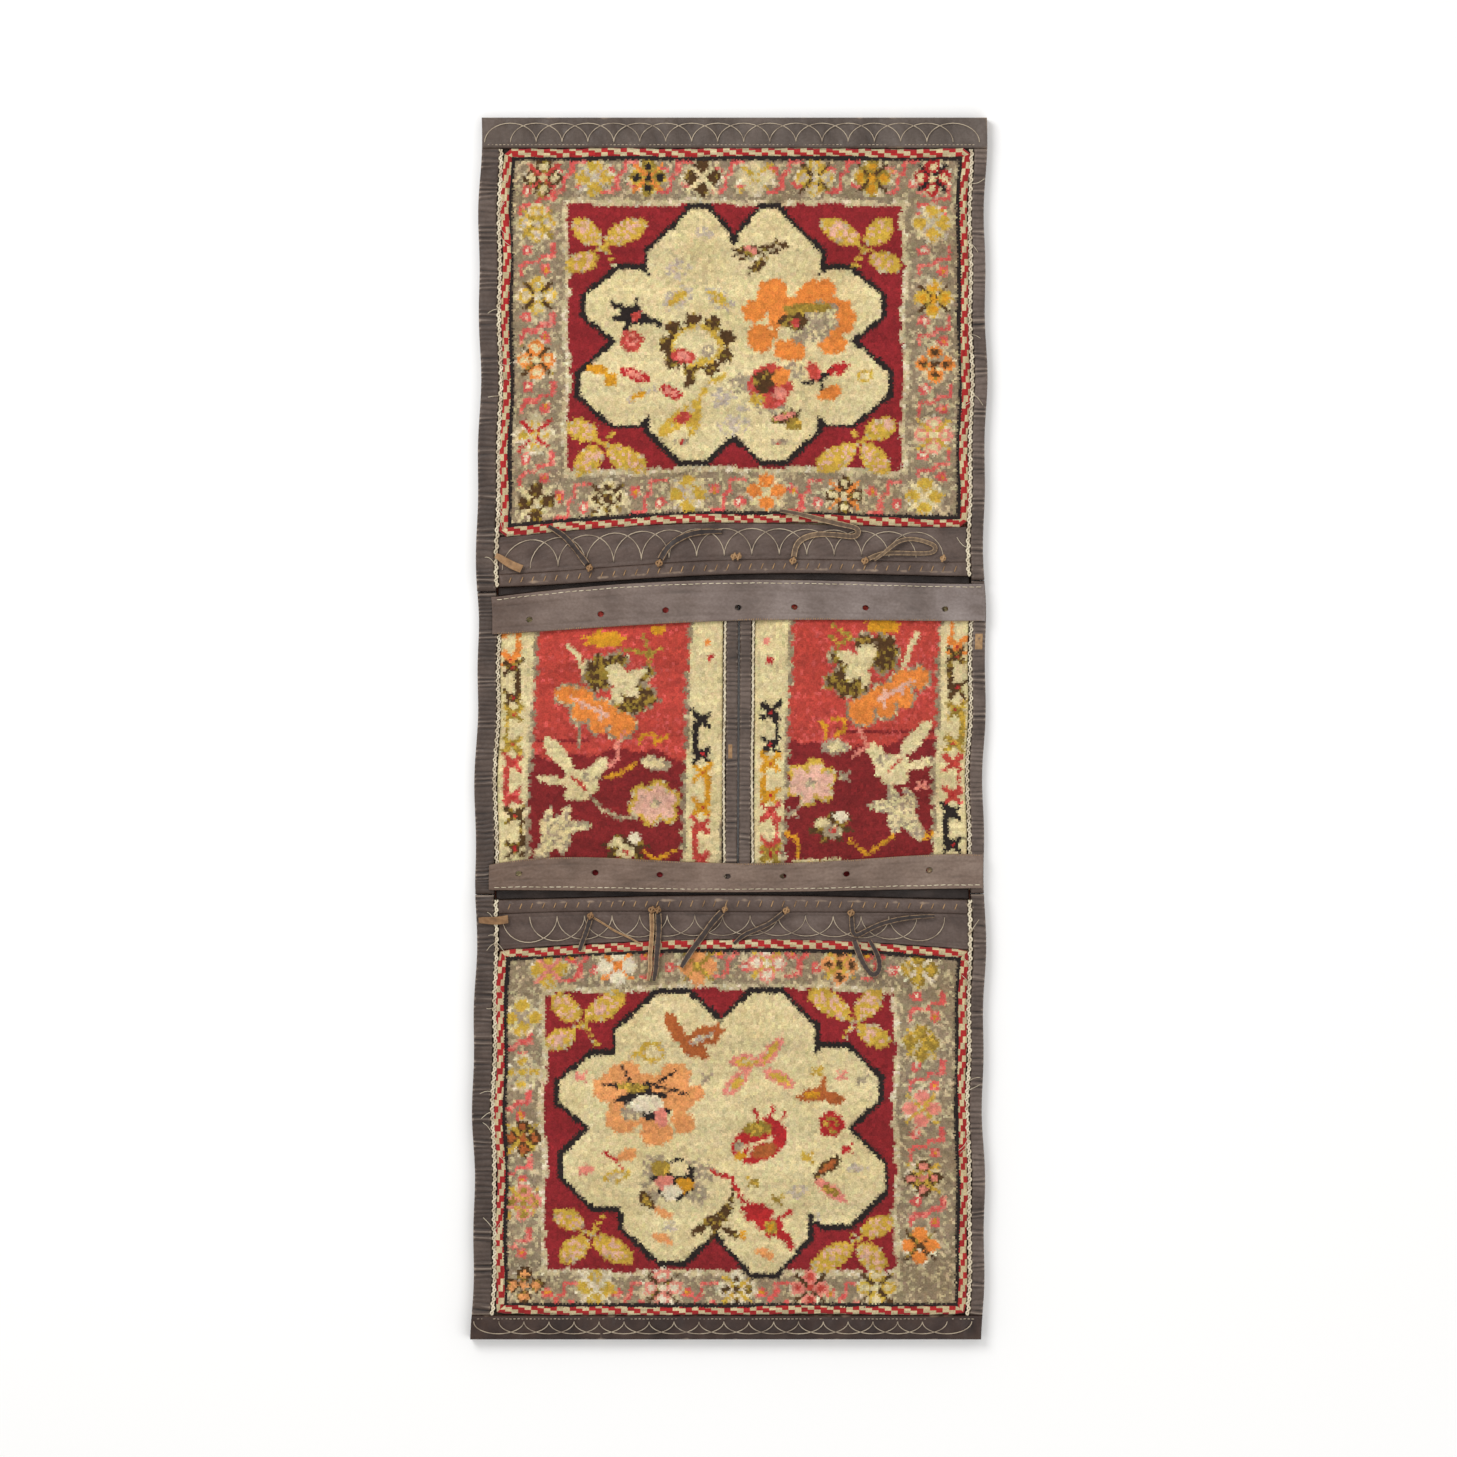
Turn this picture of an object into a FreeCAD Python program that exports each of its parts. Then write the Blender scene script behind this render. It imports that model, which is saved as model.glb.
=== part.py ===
import FreeCAD, Part
import Sketcher
import math
import os
import re

# A carpet saddle bag: a leather-bound bridge of two pile strips, and a pouch at each end.
# It lies flat, face up: X across, Y along it with the upper pouch at +Y, Z up from the ground.
# The origin is on the ground, in the middle of its length and width.

SIZES = {
    # outline
    "half_width": 267,
    "half_length": 642,
    # seams beside the leather edges, as distances from the middle line
    "left_seam": 245.4,
    "right_seam": 251.3,
    "seam_radius": 1.5,
    "seam_gap": 0.4,
    # bridge
    "lining_thickness": 2,
    "bridge_pile_top": 10.5,
    "binding_height": 10.6,
    "binding_round": 3,
    "slit_middle": 8.4,
    "slit_half": 4,
    "slit_seam": 14.7,
    "slit_seam_radius": 1.3,
    "slit_binding_width": 9.2,
    "welt_width": 8,
    "fold_gap": 0.3,
    "patch_thickness": 0.6,
    "patch_inset": 3,
    "slit_patch_low": 30,
    "slit_patch_high": 16,
    "edge_patch_low": 80,
    "edge_patch_high": 96,
    # pouch layers, measured up from the ground
    "back_thickness": 2.5,
    "front_under": 8.5,
    "front_lining_top": 9.7,
    "band_top": 12.2,
    "front_pile_top": 17.2,
    "lip_under": 8,
    "lip_top": 15,
    "lip_round": 3.2,
    "gusset_top": 14,
    "end_top": 15,
    "edge_cord_radius": 3,
    "edge_cord_bend": 4.5,
    "edge_cord_gap": 0.6,
    # closing straps
    "strap_left": 252.5,
    "strap_right": 266,
    "strap_under": 11,
    "strap_thickness": 3,
    "strap_hole_radius": 3.2,
    "stitch_length": 7,
    "stitch_pitch": 10,
    "whip_pitch": 12,
    "stitch_radius": 0.6,
    "stitch_inset": 4,
    "stitches_left": 245,
    "stitches_right": 258,
    "whips_left": 238,
    "whips_right": 246,
    # distances of the upper pouch's lines from the middle of the length
    "upper_strap_free": 108.7,
    "upper_strap_root": 156.5,
    "upper_hole_line": 124,
    "upper_fold": 160.5,
    "upper_lip_near": 164.6,
    "upper_lip_far": 179.5,
    "upper_band_far": 213.7,
    "upper_end_near": 609.5,
    # and of the lower pouch's
    "lower_strap_free": 135,
    "lower_strap_root": 172.6,
    "lower_hole_line": 152,
    "lower_fold": 176.6,
    "lower_lip_near": 180.7,
    "lower_lip_far": 196,
    "lower_band_far": 230,
    "lower_end_near": 616.5,
    # thongs
    "thong_diameter": 4,
    "strand_diameter": 2,
    "knot_radius": 2.6,
    "knot_height": 4.5,
    "tab_length": 31,
    "tab_width": 8.5,
    "tab_under": 16.5,
    "tab_thickness": 1.6,
}

# A sketch's rectangle as first drawn, before its expressions size it.
ROUGH_CORNERS = ((0, 0), (9, 0), (9, 5), (0, 5))

UPPER_HOLES = (-213, -137.5, -69, 7.5, 66.5, 141, 224)
LOWER_HOLES = (-221, -141, -73.5, -2.5, 56, 122.5, 209.5)

# Where each thong comes through the mouth band, and the stubs that have lost their thong.
UPPER_KNOTS = ((-148, 168.5), (-75, 173.5), (3.5, 180.5), (8.5, 180.5), (65.5, 176), (141, 176), (223, 178.5))
LOWER_KNOTS = ((-147, -196.5), (-82.5, -190.2), (-76, -190.2), (-6, -189.5), (58.5, -191), (126.5, -193.5))

# Where each mouth's leather tab is held, and the way it points in degrees from X.
UPPER_TAB_FOOT = (-217.2, 171.3)
UPPER_TAB_TURN = 154
LOWER_TAB_FOOT = (-233.7, -195.8)
LOWER_TAB_TURN = 184

# Each thong's line from its knot to its end, in X, Y and Z.
UPPER_THONGS = {
    "upper_thong_left": (
        (-150.5, 172.5, 17.4), (-158, 182.5, 16.8), (-168, 195.5, 14.6), (-178.5, 205, 15.4), (-191, 212, 17.9),
    ),
    "upper_thong_curved": (
        (-73.5, 177.5, 17.3), (-69, 187, 14.9), (-58.5, 197, 14.5), (-43.5, 204.5, 14.5),
        (-25.5, 207.5, 14.6), (-9, 207, 14.5),
    ),
    "upper_thong_folded": (
        (66.5, 180, 16.6), (67.5, 190, 14.7), (74.5, 199.5, 14.5), (90.5, 204.5, 14.5), (109.5, 203.5, 14.5),
        (122, 202, 14.5), (129, 201.5, 14.8), (133.5, 203.5, 15.6), (134.5, 208, 17.2), (130, 211.5, 18.8),
        (119, 213.5, 19.7), (102, 217.5, 20.1), (82, 222.5, 20), (66, 226.5, 20), (52, 228.5, 19.9),
    ),
    "upper_thong_doubled": (
        (145, 178, 17.3), (155, 183.5, 15.4), (171, 184.5, 14.5), (189, 184, 14.5), (202, 183.8, 14.5),
        (210.5, 184.3, 14.6), (215, 187, 14.8), (215, 191.5, 14.8), (209.5, 194.5, 14.7), (199, 198, 14.6),
        (187, 199.5, 15.2), (176, 196.5, 17), (167, 189.5, 19), (158.5, 182, 19.4), (150.5, 176.5, 19.2),
    ),
}
LOWER_THONGS = {
    "lower_thong_left": (
        (-147.5, -200.5, 14.4), (-150.5, -211, 14.8), (-154.5, -221.5, 16.2), (-158.5, -233, 19.8),
    ),
    "lower_thong_tan": (
        (-82.8, -193.9, 17.2), (-82, -207.5, 14.9), (-83, -222.5, 17), (-84.5, -240, 20), (-84, -253, 20.2),
        (-86.5, -264.5, 20),
    ),
    "lower_thong_dark": (
        (-75.8, -193.9, 17.2), (-75.2, -208.5, 14.9), (-76, -223.5, 17.2), (-77.5, -240, 20.2),
        (-78, -253, 20.4), (-80.5, -264.5, 20.2),
    ),
    "lower_thong_middle": (
        (-9, -192.5, 17.2), (-18.5, -202, 15.2), (-28, -216, 15.6), (-38.5, -229.5, 19), (-47.5, -243.5, 20.2),
        (-51.5, -250.5, 20),
    ),
    "lower_thong_right": (
        (55.5, -193.5, 17.2), (43.5, -204, 15), (27.5, -211, 14.7), (12.5, -217, 15), (3.5, -226, 16.6),
    ),
    "lower_thong_turned": (
        (127, -197.3, 16), (127.5, -206, 14.7), (128.2, -213.5, 14.6), (131, -217.3, 15.2), (135.2, -216.5, 16),
        (143, -212, 17), (156, -205.5, 16.9), (174, -200.5, 16.6), (194.5, -197.5, 17.2), (214, -196.8, 17.3),
    ),
    "lower_thong_loop": (
        (130, -222.5, 17.4), (134, -235, 19.8), (139, -246, 20.2), (144.5, -254.5, 20.2), (149, -258.5, 20.1),
        (154, -257, 20), (156.8, -250.5, 20.1), (155.5, -241, 20), (150.5, -230, 19.7), (146, -222.5, 17.8),
    ),
}
LOWER_STRANDS = {
    "lower_loose_strand": (
        (-143.8, -198.8, 13.5), (-133, -205, 13.9), (-121.5, -213, 13.7), (-107, -219, 14),
        (-94, -226.5, 15.5),
    ),
}

doc = FreeCAD.newDocument("SaddleBag")
sheet = doc.addObject("Spreadsheet::Sheet", "Dimensions")
for row, (alias, size) in enumerate(SIZES.items(), start=1):
    sheet.set(f"A{row}", alias)
    sheet.set(f"B{row}", str(size))
    sheet.setAlias(f"B{row}", alias)
doc.recompute()

nodes = []


def formula(text):
    """The expression with each size's name made a reference to its cell."""
    return re.sub(r"[a-z][a-z_]*", lambda word: f"Dimensions.{word[0]}", text)


def value(name):
    """A size as the sheet holds it."""
    return float(sheet.get(name))


def low_corner(piece, x, y, z):
    """Puts a piece's own origin at the low ends of its three spans."""
    for letter, span in zip("xyz", (x, y, z)):
        piece.setExpression(f"Placement.Base.{letter}", formula(span[0]))


def length_of(span):
    """The expression for a span's length."""
    return formula(f"({span[1]}) - ({span[0]})")


def slab(label, x, y, z):
    """A flat layer that fills three spans."""
    piece = doc.addObject("Part::Box", label)
    piece.setExpression("Length", length_of(x))
    piece.setExpression("Width", length_of(y))
    piece.setExpression("Height", length_of(z))
    low_corner(piece, x, y, z)
    nodes.append(piece)
    return piece


def origin_plane(body, role):
    """One of the planes of a body's own origin."""
    return next(f for f in body.Origin.OriginFeatures if f.Role == role)


def padded_rectangle(label, x, y, z):
    """A body with a rectangle, drawn from its origin, padded to the height of its span."""
    body = doc.addObject("PartDesign::Body", label)
    sketch = body.newObject("Sketcher::SketchObject", f"{label}_outline")
    sketch.AttachmentSupport = [(origin_plane(body, "XY_Plane"), "")]
    sketch.MapMode = "FlatFace"
    corners = [FreeCAD.Vector(*p) for p in ROUGH_CORNERS]
    for first, second in zip(corners, corners[1:] + corners[:1]):
        sketch.addGeometry(Part.LineSegment(first, second))
    for line in range(4):
        sketch.addConstraint(Sketcher.Constraint("Coincident", line, 2, (line + 1) % 4, 1))
    for line, way in enumerate(("Horizontal", "Vertical", "Horizontal", "Vertical")):
        sketch.addConstraint(Sketcher.Constraint(way, line))
    sketch.addConstraint(Sketcher.Constraint("Coincident", 0, 1, -1, 1))
    across = sketch.addConstraint(Sketcher.Constraint("DistanceX", 0, 1, 0, 2, 9))
    along = sketch.addConstraint(Sketcher.Constraint("DistanceY", 1, 1, 1, 2, 5))
    sketch.setExpression(f"Constraints[{across}]", length_of(x))
    sketch.setExpression(f"Constraints[{along}]", length_of(y))
    pad = body.newObject("PartDesign::Pad", f"{label}_pad")
    pad.Profile = sketch
    pad.setExpression("Length", length_of(z))
    body.Tip = pad
    low_corner(body, x, y, z)
    doc.recompute()
    nodes.append(body)
    return body


def round_edges(body, radius, chosen):
    """Fillets the edges of a body's last feature that a test picks."""
    base = body.Tip
    names = [f"Edge{n}" for n, edge in enumerate(base.Shape.Edges, start=1) if chosen(edge)]
    fillet = body.newObject("PartDesign::Fillet", f"{body.Name}_round")
    fillet.Base = (base, names)
    fillet.setExpression("Radius", formula(radius))
    body.Tip = fillet
    doc.recompute()


def runs_along(edge, axis):
    """True for a straight edge in the direction of an axis."""
    way = edge.Vertexes[-1].Point - edge.Vertexes[0].Point
    return abs(abs(way.normalize().dot(axis)) - 1) < 1e-6


def is_top(edge, shape):
    """True for an edge in the highest plane of a shape."""
    return edge.BoundBox.ZMin > shape.BoundBox.ZMax - 1e-6


def group(label, pieces):
    """Several separate solids in one node."""
    piece = doc.addObject("Part::Compound", label)
    piece.Links = pieces
    nodes.append(piece)


def rod(name, x, y, height, radius):
    """A round cord along Y, its middle at a height."""
    piece = doc.addObject("Part::Cylinder", name)
    piece.setExpression("Radius", formula(radius))
    piece.setExpression("Height", length_of(y))
    piece.Placement.Rotation = FreeCAD.Rotation(FreeCAD.Vector(1, 0, 0), -90)
    piece.setExpression("Placement.Base.x", formula(x))
    piece.setExpression("Placement.Base.y", formula(y[0]))
    piece.setExpression("Placement.Base.z", formula(height))
    return piece


def made(label, shape, place=FreeCAD.Placement()):
    """A node whose shape Part's own functions made, put in its place."""
    piece = doc.addObject("Part::Feature", label)
    piece.Shape = shape
    piece.Placement = place
    nodes.append(piece)


def route(points):
    """Straight runs joined by tangent arcs, each as large as its two runs allow, and the smallest radius."""
    corners = [FreeCAD.Vector(*p) for p in points]
    edges = []
    radii = []
    start = corners[0]
    for before, corner, after in zip(corners, corners[1:], corners[2:]):
        back = before - corner
        ahead = after - corner
        cut = 0.45 * min(back.Length, ahead.Length)
        back.normalize()
        ahead.normalize()
        half_turn = (math.pi - back.getAngle(ahead)) / 2
        radii.append(cut / math.tan(half_turn))
        inward = (back + ahead).normalize()
        arc_start = corner + back * cut
        arc_end = corner + ahead * cut
        middle = corner + inward * (radii[-1] / math.cos(half_turn) - radii[-1])
        edges.append(Part.LineSegment(start, arc_start).toShape())
        edges.append(Part.Arc(arc_start, middle, arc_end).toShape())
        start = arc_end
    edges.append(Part.LineSegment(start, corners[-1]).toShape())
    return Part.Wire(edges), min(radii)


def thong(label, points, diameter):
    """A round tube along a thong's line."""
    path, smallest = route(points)
    heading = FreeCAD.Vector(*points[1]) - FreeCAD.Vector(*points[0])
    circle = Part.Circle(FreeCAD.Vector(*points[0]), heading, diameter / 2)
    section = Part.Wire(circle.toShape())
    tube = path.makePipeShell([section], True, False)
    expected = math.pi * diameter ** 2 / 4 * path.Length
    print(f"{label}: {path.Length:.1f} mm, least radius {smallest:.1f}, volume {tube.Volume / expected:.3f}")
    made(label, tube)


def mirrored(span, side):
    """A span of distances from the middle of the length, on the upper (+1) or lower (-1) side."""
    near, far = span
    return (near, far) if side > 0 else (f"-({far})", f"-({near})")


ACROSS = FreeCAD.Vector(1, 0, 0)
ALONG = FreeCAD.Vector(0, 1, 0)

LEFT_EDGE = ("-half_width", "-left_seam - seam_radius - seam_gap")
RIGHT_EDGE = ("right_seam + seam_radius + seam_gap", "half_width")
INSIDE_LEFT = "-left_seam + seam_radius + seam_gap"
INSIDE_RIGHT = "right_seam - seam_radius - seam_gap"


def bridge():
    """Two pile strips over linings, bound in leather, with a slit between them."""
    whole = ("-lower_fold + fold_gap", "upper_fold - fold_gap")
    strips = ("-lower_strap_root + welt_width + fold_gap", "upper_strap_root - welt_width - fold_gap")
    left_strip = (INSIDE_LEFT, "slit_middle - slit_seam - slit_seam_radius - seam_gap")
    right_strip = ("slit_middle + slit_seam + slit_seam_radius + seam_gap", INSIDE_RIGHT)
    slit_left = ("slit_middle - slit_half - slit_binding_width", "slit_middle - slit_half")
    slit_right = ("slit_middle + slit_half", "slit_middle + slit_half + slit_binding_width")
    lining = ("0", "lining_thickness")
    slab("bridge_lining_left", (LEFT_EDGE[1], slit_left[0]), whole, lining)
    slab("bridge_lining_right", (slit_right[1], RIGHT_EDGE[0]), whole, lining)
    slab("bridge_carpet_left", left_strip, strips, ("lining_thickness", "bridge_pile_top"))
    slab("bridge_carpet_right", right_strip, strips, ("lining_thickness", "bridge_pile_top"))
    bound = (
        ("bridge_binding_left", LEFT_EDGE, whole),
        ("bridge_binding_right", RIGHT_EDGE, whole),
        ("slit_binding_left", slit_left, strips),
        ("slit_binding_right", slit_right, strips),
    )
    for label, x, y in bound:
        body = padded_rectangle(label, x, y, ("0", "binding_height"))
        shape = body.Tip.Shape
        round_edges(body, "binding_round", lambda e: is_top(e, shape) and runs_along(e, ALONG))
    cord_height = "binding_height - seam_radius - seam_gap"
    cords = [
        rod("seam_left", "-left_seam", strips, cord_height, "seam_radius"),
        rod("seam_right", "right_seam", strips, cord_height, "seam_radius"),
        rod("seam_slit_left", "slit_middle - slit_seam", strips, cord_height, "slit_seam_radius"),
        rod("seam_slit_right", "slit_middle + slit_seam", strips, cord_height, "slit_seam_radius"),
    ]
    group("bridge_seam_cords", cords)
    for name, side in (("upper", 1), ("lower", -1)):
        y = mirrored((f"{name}_strap_root - welt_width", f"{name}_strap_root"), side)
        slab(f"{name}_welt", (INSIDE_LEFT, INSIDE_RIGHT), y, ("lining_thickness", "bridge_pile_top"))
    on_binding = ("binding_height", "binding_height + patch_thickness")
    on_slit = (slit_left[0] + " + patch_inset", slit_left[1] + " - patch_inset")
    on_edge = (RIGHT_EDGE[0] + " + patch_inset", "half_width - patch_inset")
    slit_patch = slab("slit_patch", on_slit, ("-slit_patch_low", "-slit_patch_high"), on_binding)
    edge_patch = slab("edge_patch", on_edge, ("edge_patch_low", "edge_patch_high"), on_binding)
    for patch in (slit_patch, edge_patch):
        nodes.remove(patch)
    group("bridge_patches", [slit_patch, edge_patch])


def rounded_loop(corners, bend):
    """A closed line through square corners, each rounded to a bend."""
    edges = []
    start = corners[0]
    for before, corner, after in zip(corners, corners[1:], corners[2:]):
        back = (before - corner).normalize()
        ahead = (after - corner).normalize()
        middle = corner + (back + ahead) * (bend * (1 - math.sqrt(0.5)))
        edges.append(Part.LineSegment(start, corner + back * bend).toShape())
        edges.append(Part.Arc(corner + back * bend, middle, corner + ahead * bend).toShape())
        start = corner + ahead * bend
    edges.append(Part.LineSegment(start, corners[-1]).toShape())
    return Part.Wire(edges)


def edge_cord(name, near, far):
    """The two-colour cord all round a pouch's carpet: one round section swept round a closed line."""
    radius = value("edge_cord_radius")
    height = value("front_lining_top") + radius
    left = -value("left_seam") + value("seam_radius") + value("seam_gap") + radius
    right = value("right_seam") - value("seam_radius") - value("seam_gap") - radius
    low = min(near, far)
    high = max(near, far)
    middle = (left + right) / 2
    corners = ((left, low), (left, high), (right, high), (right, low))
    ends = ((middle, low),) + corners + ((middle, low),)
    path = rounded_loop([FreeCAD.Vector(x, y, height) for x, y in ends], value("edge_cord_bend"))
    section = Part.Wire(Part.Circle(FreeCAD.Vector(middle, low, height), ACROSS, radius).toShape())
    made(f"{name}_edge_cord", path.makePipeShell([section], True, False))


def row_of_beads(label, xs, y, height, length, across):
    """A row of short rounded stitches, lying along X or, if across, along Y."""
    radius = value("stitch_radius")
    way = ALONG if across else ACROSS
    solids = []
    for x in xs:
        start = FreeCAD.Vector(x, y, height + radius) - way * (length / 2)
        solids.append(Part.makeCylinder(radius, length, start, way))
    made(label, Part.makeCompound(solids))


def evenly(first, last, pitch):
    """Places from first to last, a whole number of pitches apart."""
    count = int((last - first) / pitch)
    return [first + pitch / 2 + pitch * n for n in range(count)]


def pouch(name, side, knots, tab_foot, tab_turn):
    """A pouch lying flat: back, gussets and end band, and the front with its pile, band and lip."""
    def y_span(near, far):
        return mirrored((near.replace("@", name), far.replace("@", name)), side)

    body_y = y_span("@_fold + fold_gap", "@_end_near")
    inside = (INSIDE_LEFT, INSIDE_RIGHT)
    slab(f"{name}_back", (LEFT_EDGE[1], RIGHT_EDGE[0]), body_y, ("0", "back_thickness"))
    end = padded_rectangle(
        f"{name}_end_band", ("-half_width", "half_width"), y_span("@_end_near", "half_length"), ("0", "end_top"))
    end_shape = end.Tip.Shape
    round_edges(end, "binding_round", lambda e: is_top(e, end_shape))
    for hand, x in (("left", LEFT_EDGE), ("right", RIGHT_EDGE)):
        gusset = padded_rectangle(f"{name}_gusset_{hand}", x, body_y, ("0", "gusset_top"))
        shape = gusset.Tip.Shape
        round_edges(gusset, "binding_round", lambda e: is_top(e, shape) and runs_along(e, ALONG))

    slab(
        f"{name}_front_lining", inside, y_span("@_lip_far", "@_end_near - fold_gap"),
        ("front_under", "front_lining_top"))
    pile_x = (
        INSIDE_LEFT + " + 2 * edge_cord_radius + seam_gap / 2",
        INSIDE_RIGHT + " - 2 * edge_cord_radius - seam_gap / 2",
    )
    pile_y = y_span(
        "@_band_far + 2 * edge_cord_radius + seam_gap",
        "@_end_near - 2 * edge_cord_radius - 2 * seam_gap")
    slab(f"{name}_carpet", pile_x, pile_y, ("front_lining_top", "front_pile_top"))
    slab(f"{name}_mouth_band", inside, y_span("@_lip_far", "@_band_far"), ("front_lining_top", "band_top"))
    lip = padded_rectangle(
        f"{name}_lip", (INSIDE_LEFT, INSIDE_RIGHT), y_span("@_lip_near", "@_lip_far"), ("lip_under", "lip_top"))
    round_edges(lip, "lip_round", lambda e: runs_along(e, ACROSS))

    radius = value("edge_cord_radius")
    near = value(f"{name}_band_far") + radius + value("seam_gap") / 2
    far = value(f"{name}_end_near") - radius - value("edge_cord_gap")
    edge_cord(name, side * near, side * far)
    seam_y = y_span("@_lip_near", "@_end_near - fold_gap")
    seams = [
        rod(f"{name}_seam_left", "-left_seam", seam_y, "gusset_top", "seam_radius"),
        rod(f"{name}_seam_right", "right_seam", seam_y, "gusset_top", "seam_radius"),
    ]
    group(f"{name}_seam_cords", seams)

    lip_middle = side * (value(f"{name}_lip_near") + value(f"{name}_lip_far")) / 2
    row_of_beads(
        f"{name}_whip_stitches", evenly(-value("whips_left"), value("whips_right"), value("whip_pitch")), lip_middle,
        value("lip_top"), value("stitch_length"), True)
    studs = []
    for x, y in knots:
        on_lip = abs(y) < value(f"{name}_lip_far") + value("knot_radius")
        over_stitches = value("lip_top") + 2 * value("stitch_radius") + value("fold_gap")
        foot = FreeCAD.Vector(x, y, over_stitches if on_lip else value("band_top"))
        studs.append(Part.makeCylinder(value("knot_radius"), value("knot_height"), foot))
    made(f"{name}_thong_knots", Part.makeCompound(studs))
    strip = Part.makeBox(value("tab_length"), value("tab_width"), value("tab_thickness"))
    turned = FreeCAD.Rotation(FreeCAD.Vector(0, 0, 1), tab_turn)
    made(f"{name}_tab", strip, FreeCAD.Placement(FreeCAD.Vector(*tab_foot, value("tab_under")), turned))


def strap(name, side, holes):
    """The closing strap: a padded strip, pocketed with a row of holes, and its stitches."""
    y = mirrored((f"{name}_strap_free", f"{name}_strap_root"), side)
    body = padded_rectangle(
        f"{name}_strap", ("-strap_left", "strap_right"), y, ("strap_under", "strap_under + strap_thickness"))
    sketch = body.newObject("Sketcher::SketchObject", f"{name}_hole_places")
    sketch.AttachmentSupport = [(origin_plane(body, "XY_Plane"), "")]
    sketch.MapMode = "FlatFace"
    free_edge = value(f"{name}_strap_free") if side > 0 else -value(f"{name}_strap_root")
    line = side * value(f"{name}_hole_line") - free_edge
    for n, x in enumerate(holes):
        middle = FreeCAD.Vector(x + value("strap_left"), line)
        sketch.addGeometry(Part.Circle(middle, FreeCAD.Vector(0, 0, 1), value("strap_hole_radius")))
        size = sketch.addConstraint(Sketcher.Constraint("Radius", n, value("strap_hole_radius")))
        sketch.setExpression(f"Constraints[{size}]", formula("strap_hole_radius"))
    solid = body.Tip.Shape.Volume
    pocket = body.newObject("PartDesign::Pocket", f"{name}_holes")
    pocket.Profile = sketch
    pocket.Type = "ThroughAll"
    pocket.Reversed = True
    body.Tip = pocket
    doc.recompute()
    print(f"{name} strap's holes take {solid - pocket.Shape.Volume:.0f} cubic mm")
    row_of_beads(
        f"{name}_strap_stitches", evenly(-value("stitches_left"), value("stitches_right"), value("stitch_pitch")),
        side * (value(f"{name}_strap_root") - value("stitch_inset")), value("strap_under") + value("strap_thickness"),
        value("stitch_length"), False)


bridge()
pouch("upper", 1, UPPER_KNOTS, UPPER_TAB_FOOT, UPPER_TAB_TURN)
pouch("lower", -1, LOWER_KNOTS, LOWER_TAB_FOOT, LOWER_TAB_TURN)
strap("upper", 1, UPPER_HOLES)
strap("lower", -1, LOWER_HOLES)
for label, points in (UPPER_THONGS | LOWER_THONGS).items():
    thong(label, points, value("thong_diameter"))
for label, points in LOWER_STRANDS.items():
    thong(label, points, value("strand_diameter"))
doc.recompute()

for item in doc.Objects:
    if "Invalid" in item.State or "Error" in item.State:
        raise RuntimeError(f"{item.Name} did not compute: {item.State}")
for node in nodes:
    if node.Shape.isNull() or not node.Shape.isValid():
        raise RuntimeError(f"{node.Label} has no valid shape")

os.makedirs("parts", exist_ok=True)
for node in nodes:
    node.Shape.exportStep(f"parts/{node.Label}.step")
print(len(nodes), "nodes")
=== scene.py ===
import logging
from dataclasses import dataclass
from enum import Enum
from typing import Callable, Iterable, Sequence

import bpy
import numpy as np
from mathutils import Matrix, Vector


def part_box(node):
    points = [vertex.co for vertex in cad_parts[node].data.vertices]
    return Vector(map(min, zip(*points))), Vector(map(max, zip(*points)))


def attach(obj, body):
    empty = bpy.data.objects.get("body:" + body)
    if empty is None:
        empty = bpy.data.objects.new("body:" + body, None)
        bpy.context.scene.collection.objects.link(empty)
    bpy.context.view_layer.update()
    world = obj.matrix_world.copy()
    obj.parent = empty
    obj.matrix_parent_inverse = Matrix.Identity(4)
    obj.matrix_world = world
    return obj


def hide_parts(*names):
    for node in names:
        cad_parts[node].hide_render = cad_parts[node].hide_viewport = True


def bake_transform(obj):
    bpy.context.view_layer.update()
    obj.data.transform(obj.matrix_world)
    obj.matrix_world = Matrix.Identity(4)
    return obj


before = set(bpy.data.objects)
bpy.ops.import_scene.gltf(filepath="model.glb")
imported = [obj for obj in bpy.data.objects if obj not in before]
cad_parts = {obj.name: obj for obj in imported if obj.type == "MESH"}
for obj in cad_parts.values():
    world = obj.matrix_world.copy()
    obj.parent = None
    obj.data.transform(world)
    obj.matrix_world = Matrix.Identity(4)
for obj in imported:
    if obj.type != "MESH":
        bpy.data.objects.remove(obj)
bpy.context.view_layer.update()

log = logging.getLogger("saddle_bag")

MM = 0.001
Colour = tuple[float, float, float]
Socket = bpy.types.NodeSocket
Piece = bpy.types.Object
Array = np.ndarray
Place = tuple[float, float]


# Wool and finishes.

class Wool(Enum):
    """The dyed wools of the pile, each with its colour in daylight, from 0 to 255."""

    RED = (144, 36, 42)
    DARK_RED = (130, 36, 38)
    CORAL = (190, 70, 60)
    VINE = (216, 92, 88)
    ROSE = (228, 140, 124)
    PINK = (226, 178, 158)
    MADDER = (184, 42, 44)
    CREAM = (224, 208, 160)
    SAND = (204, 188, 150)
    WHITE = (232, 220, 192)
    STONE = (150, 133, 108)
    GREY = (164, 148, 124)
    LILAC = (194, 180, 164)
    GOLD = (206, 170, 66)
    AMBER = (214, 152, 36)
    ORANGE = (230, 138, 62)
    APRICOT = (230, 158, 98)
    OLIVE = (156, 130, 52)
    BROWN = (84, 58, 30)
    RUST = (176, 96, 48)
    BLACK = (40, 32, 30)

    def linear(self) -> Array:
        """The colour as a shader takes it."""
        return as_linear(self.value)


(
    RED, DARK_RED, CORAL, VINE, ROSE, PINK, MADDER, CREAM, SAND, WHITE, STONE, GREY, LILAC, GOLD, AMBER,
    ORANGE, APRICOT, OLIVE, BROWN, RUST, BLACK,
) = Wool

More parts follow.
